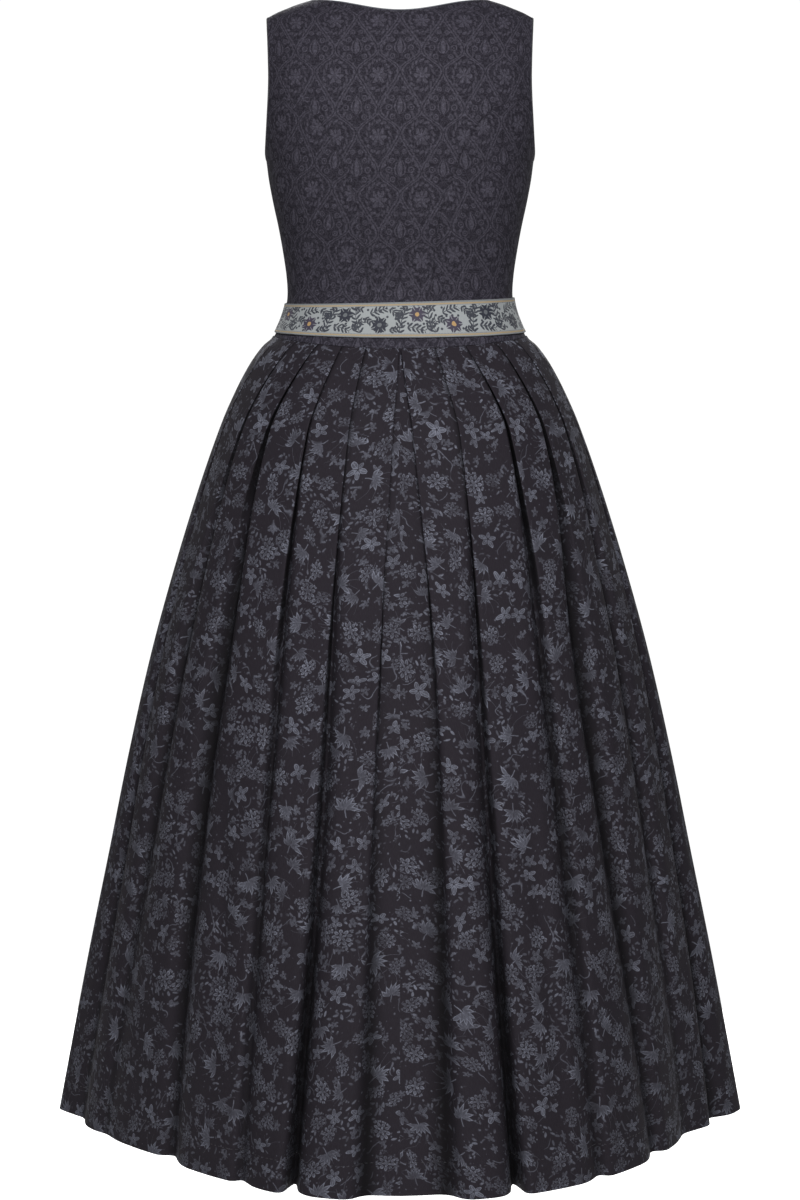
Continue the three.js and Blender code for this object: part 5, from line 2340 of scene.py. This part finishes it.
@dataclass
class Studio:
    """Camera, lights, floor and world."""

    camera_at: tuple[float, float, float] = (0.0, -4.0, -0.24754)
    tilt: float = 6.479
    lens: float = 101.7
    floor: float = -1.75
    floor_radius: float = 2.4
    floor_sides: int = 96
    floor_glow: float = 0.8
    ambient: float = 0.07
    aim: float = -0.35
    backdrop: float = 1.05
    lights: tuple[tuple[str, tuple[float, float, float], float, float], ...] = (
        ("key", (0.5, -3.3, 1.5), 0.9, 98),
        ("fill", (-0.7, -3.5, 0.6), 1.1, 50),
        ("front_key", (-0.6, 3.3, 1.5), 0.9, 80),
        ("front_fill", (0.8, 3.5, 0.6), 1.1, 40),
        ("left_side", (-2.3, 2.8, 0.8), 1.2, 24),
        ("right_side", (2.3, 2.8, 0.8), 1.2, 24),
    )

    def camera(self) -> None:
        """Sets up the camera at the photograph's angle."""
        data = bpy.data.cameras.new("camera")
        data.lens = self.lens
        data.sensor_width = 36
        data.clip_end = 100
        made = bpy.data.objects.new("camera", data)
        made.location = self.camera_at
        made.rotation_euler = (math.radians(90 - self.tilt), 0, 0)
        bpy.context.scene.collection.objects.link(made)
        bpy.context.scene.camera = made

    def light(self, name: str, at: tuple[float, float, float], size: float, power: float) -> None:
        """Adds a square area light that points at the garment.

        Args:
            name: the light's name.
            at: where it stands.
            size: its width.
            power: its strength in watts.
        """
        data = bpy.data.lights.new(name, "AREA")
        data.size = size
        data.energy = power
        made = bpy.data.objects.new(name, data)
        made.location = at
        aim = Vector((0, 0, self.aim)) - made.location
        made.rotation_euler = aim.to_track_quat("-Z", "Y").to_euler()
        bpy.context.scene.collection.objects.link(made)

    def stage(self) -> None:
        """Lays a plain pale floor, which the garment doesn't borrow light from."""
        turn = np.linspace(0, 2 * math.pi, self.floor_sides, endpoint=False)
        rings = np.array([[0.02], [0.35], [1.0]]) * self.floor_radius
        level = np.full((len(rings), self.floor_sides), self.floor)
        points = np.stack([rings * np.cos(turn), rings * np.sin(turn), level], -1)
        ids = np.arange(level.size).reshape(level.shape)
        near, far = ids[:-1], ids[1:]
        faces = np.stack([near, far, np.roll(far, -1, 1), np.roll(near, -1, 1)], -1).reshape(-1, 4)
        faces = np.concatenate([faces, disc(ids[0])])
        made = make_object("floor", points.reshape(-1, 3), faces, np.zeros((faces.size, 2)))
        g = Graph("floor_paper")
        place = g.signal("ShaderNodeTexCoord", {}, {}, "Object")
        grain = g.signal("ShaderNodeTexNoise", {}, {"Vector": place, "Scale": 90.0, "Detail": 2.0})
        colour = g.mix(grain, (0.93, 0.93, 0.93, 1), (0.96, 0.96, 0.96, 1))
        made.data.materials.append(g.surface(g.node("ShaderNodeBsdfPrincipled", {}, {
            "Base Color": colour,
            "Roughness": 0.95,
            "Specular IOR Level": 0.1,
            "Emission Color": (1, 1, 1, 1),
            "Emission Strength": self.floor_glow,
        })))
        made.visible_diffuse = False

    def world(self) -> None:
        """Surrounds the garment with an even white that lights it softly."""
        world = bpy.data.worlds.new("studio")
        world.use_nodes = True
        tree = world.node_tree
        path = tree.nodes.new("ShaderNodeLightPath")
        strength = tree.nodes.new("ShaderNodeMapRange")
        strength.inputs["To Min"].default_value = self.ambient
        strength.inputs["To Max"].default_value = self.backdrop
        tree.links.new(path.outputs["Is Camera Ray"], strength.inputs["Value"])
        tree.nodes["Background"].inputs["Color"].default_value = (1, 1, 1, 1)
        tree.links.new(strength.outputs["Result"], tree.nodes["Background"].inputs["Strength"])
        bpy.context.scene.world = world

    def build(self) -> None:
        """Builds the whole studio."""
        self.camera()
        self.stage()
        self.world()
        for row in self.lights:
            self.light(*row)
        bpy.context.scene.view_settings.view_transform = "Standard"


def main() -> None:
    """Builds the garment and its studio."""
    logging.basicConfig(level=logging.INFO, format="%(name)s: %(message)s")
    Studio().build()
    damask = DamaskFinish().make()
    floral = FloralFinish().make()
    ribbon = RibbonFinish().make()
    dark = ThreadFinish("dark_thread", (0.020, 0.019, 0.024, 1)).make()
    pale = ThreadFinish("pale_thread", (0.22, 0.225, 0.23, 1)).make()
    edge = ThreadFinish("neck_binding", (0.085, 0.092, 0.105, 1)).make()
    bodice, belt, skirt = Bodice(), Belt(), Skirt()
    pieces = bodice.build(damask)
    pieces += skirt.build(floral)
    pieces.append(belt.build(ribbon))
    pieces += Sewing(bodice, belt, skirt).build(dark, pale, edge)
    for piece in pieces:
        LOG.info("%s: %d faces", piece.name, len(piece.data.polygons))


if __name__ == "__main__":
    main()
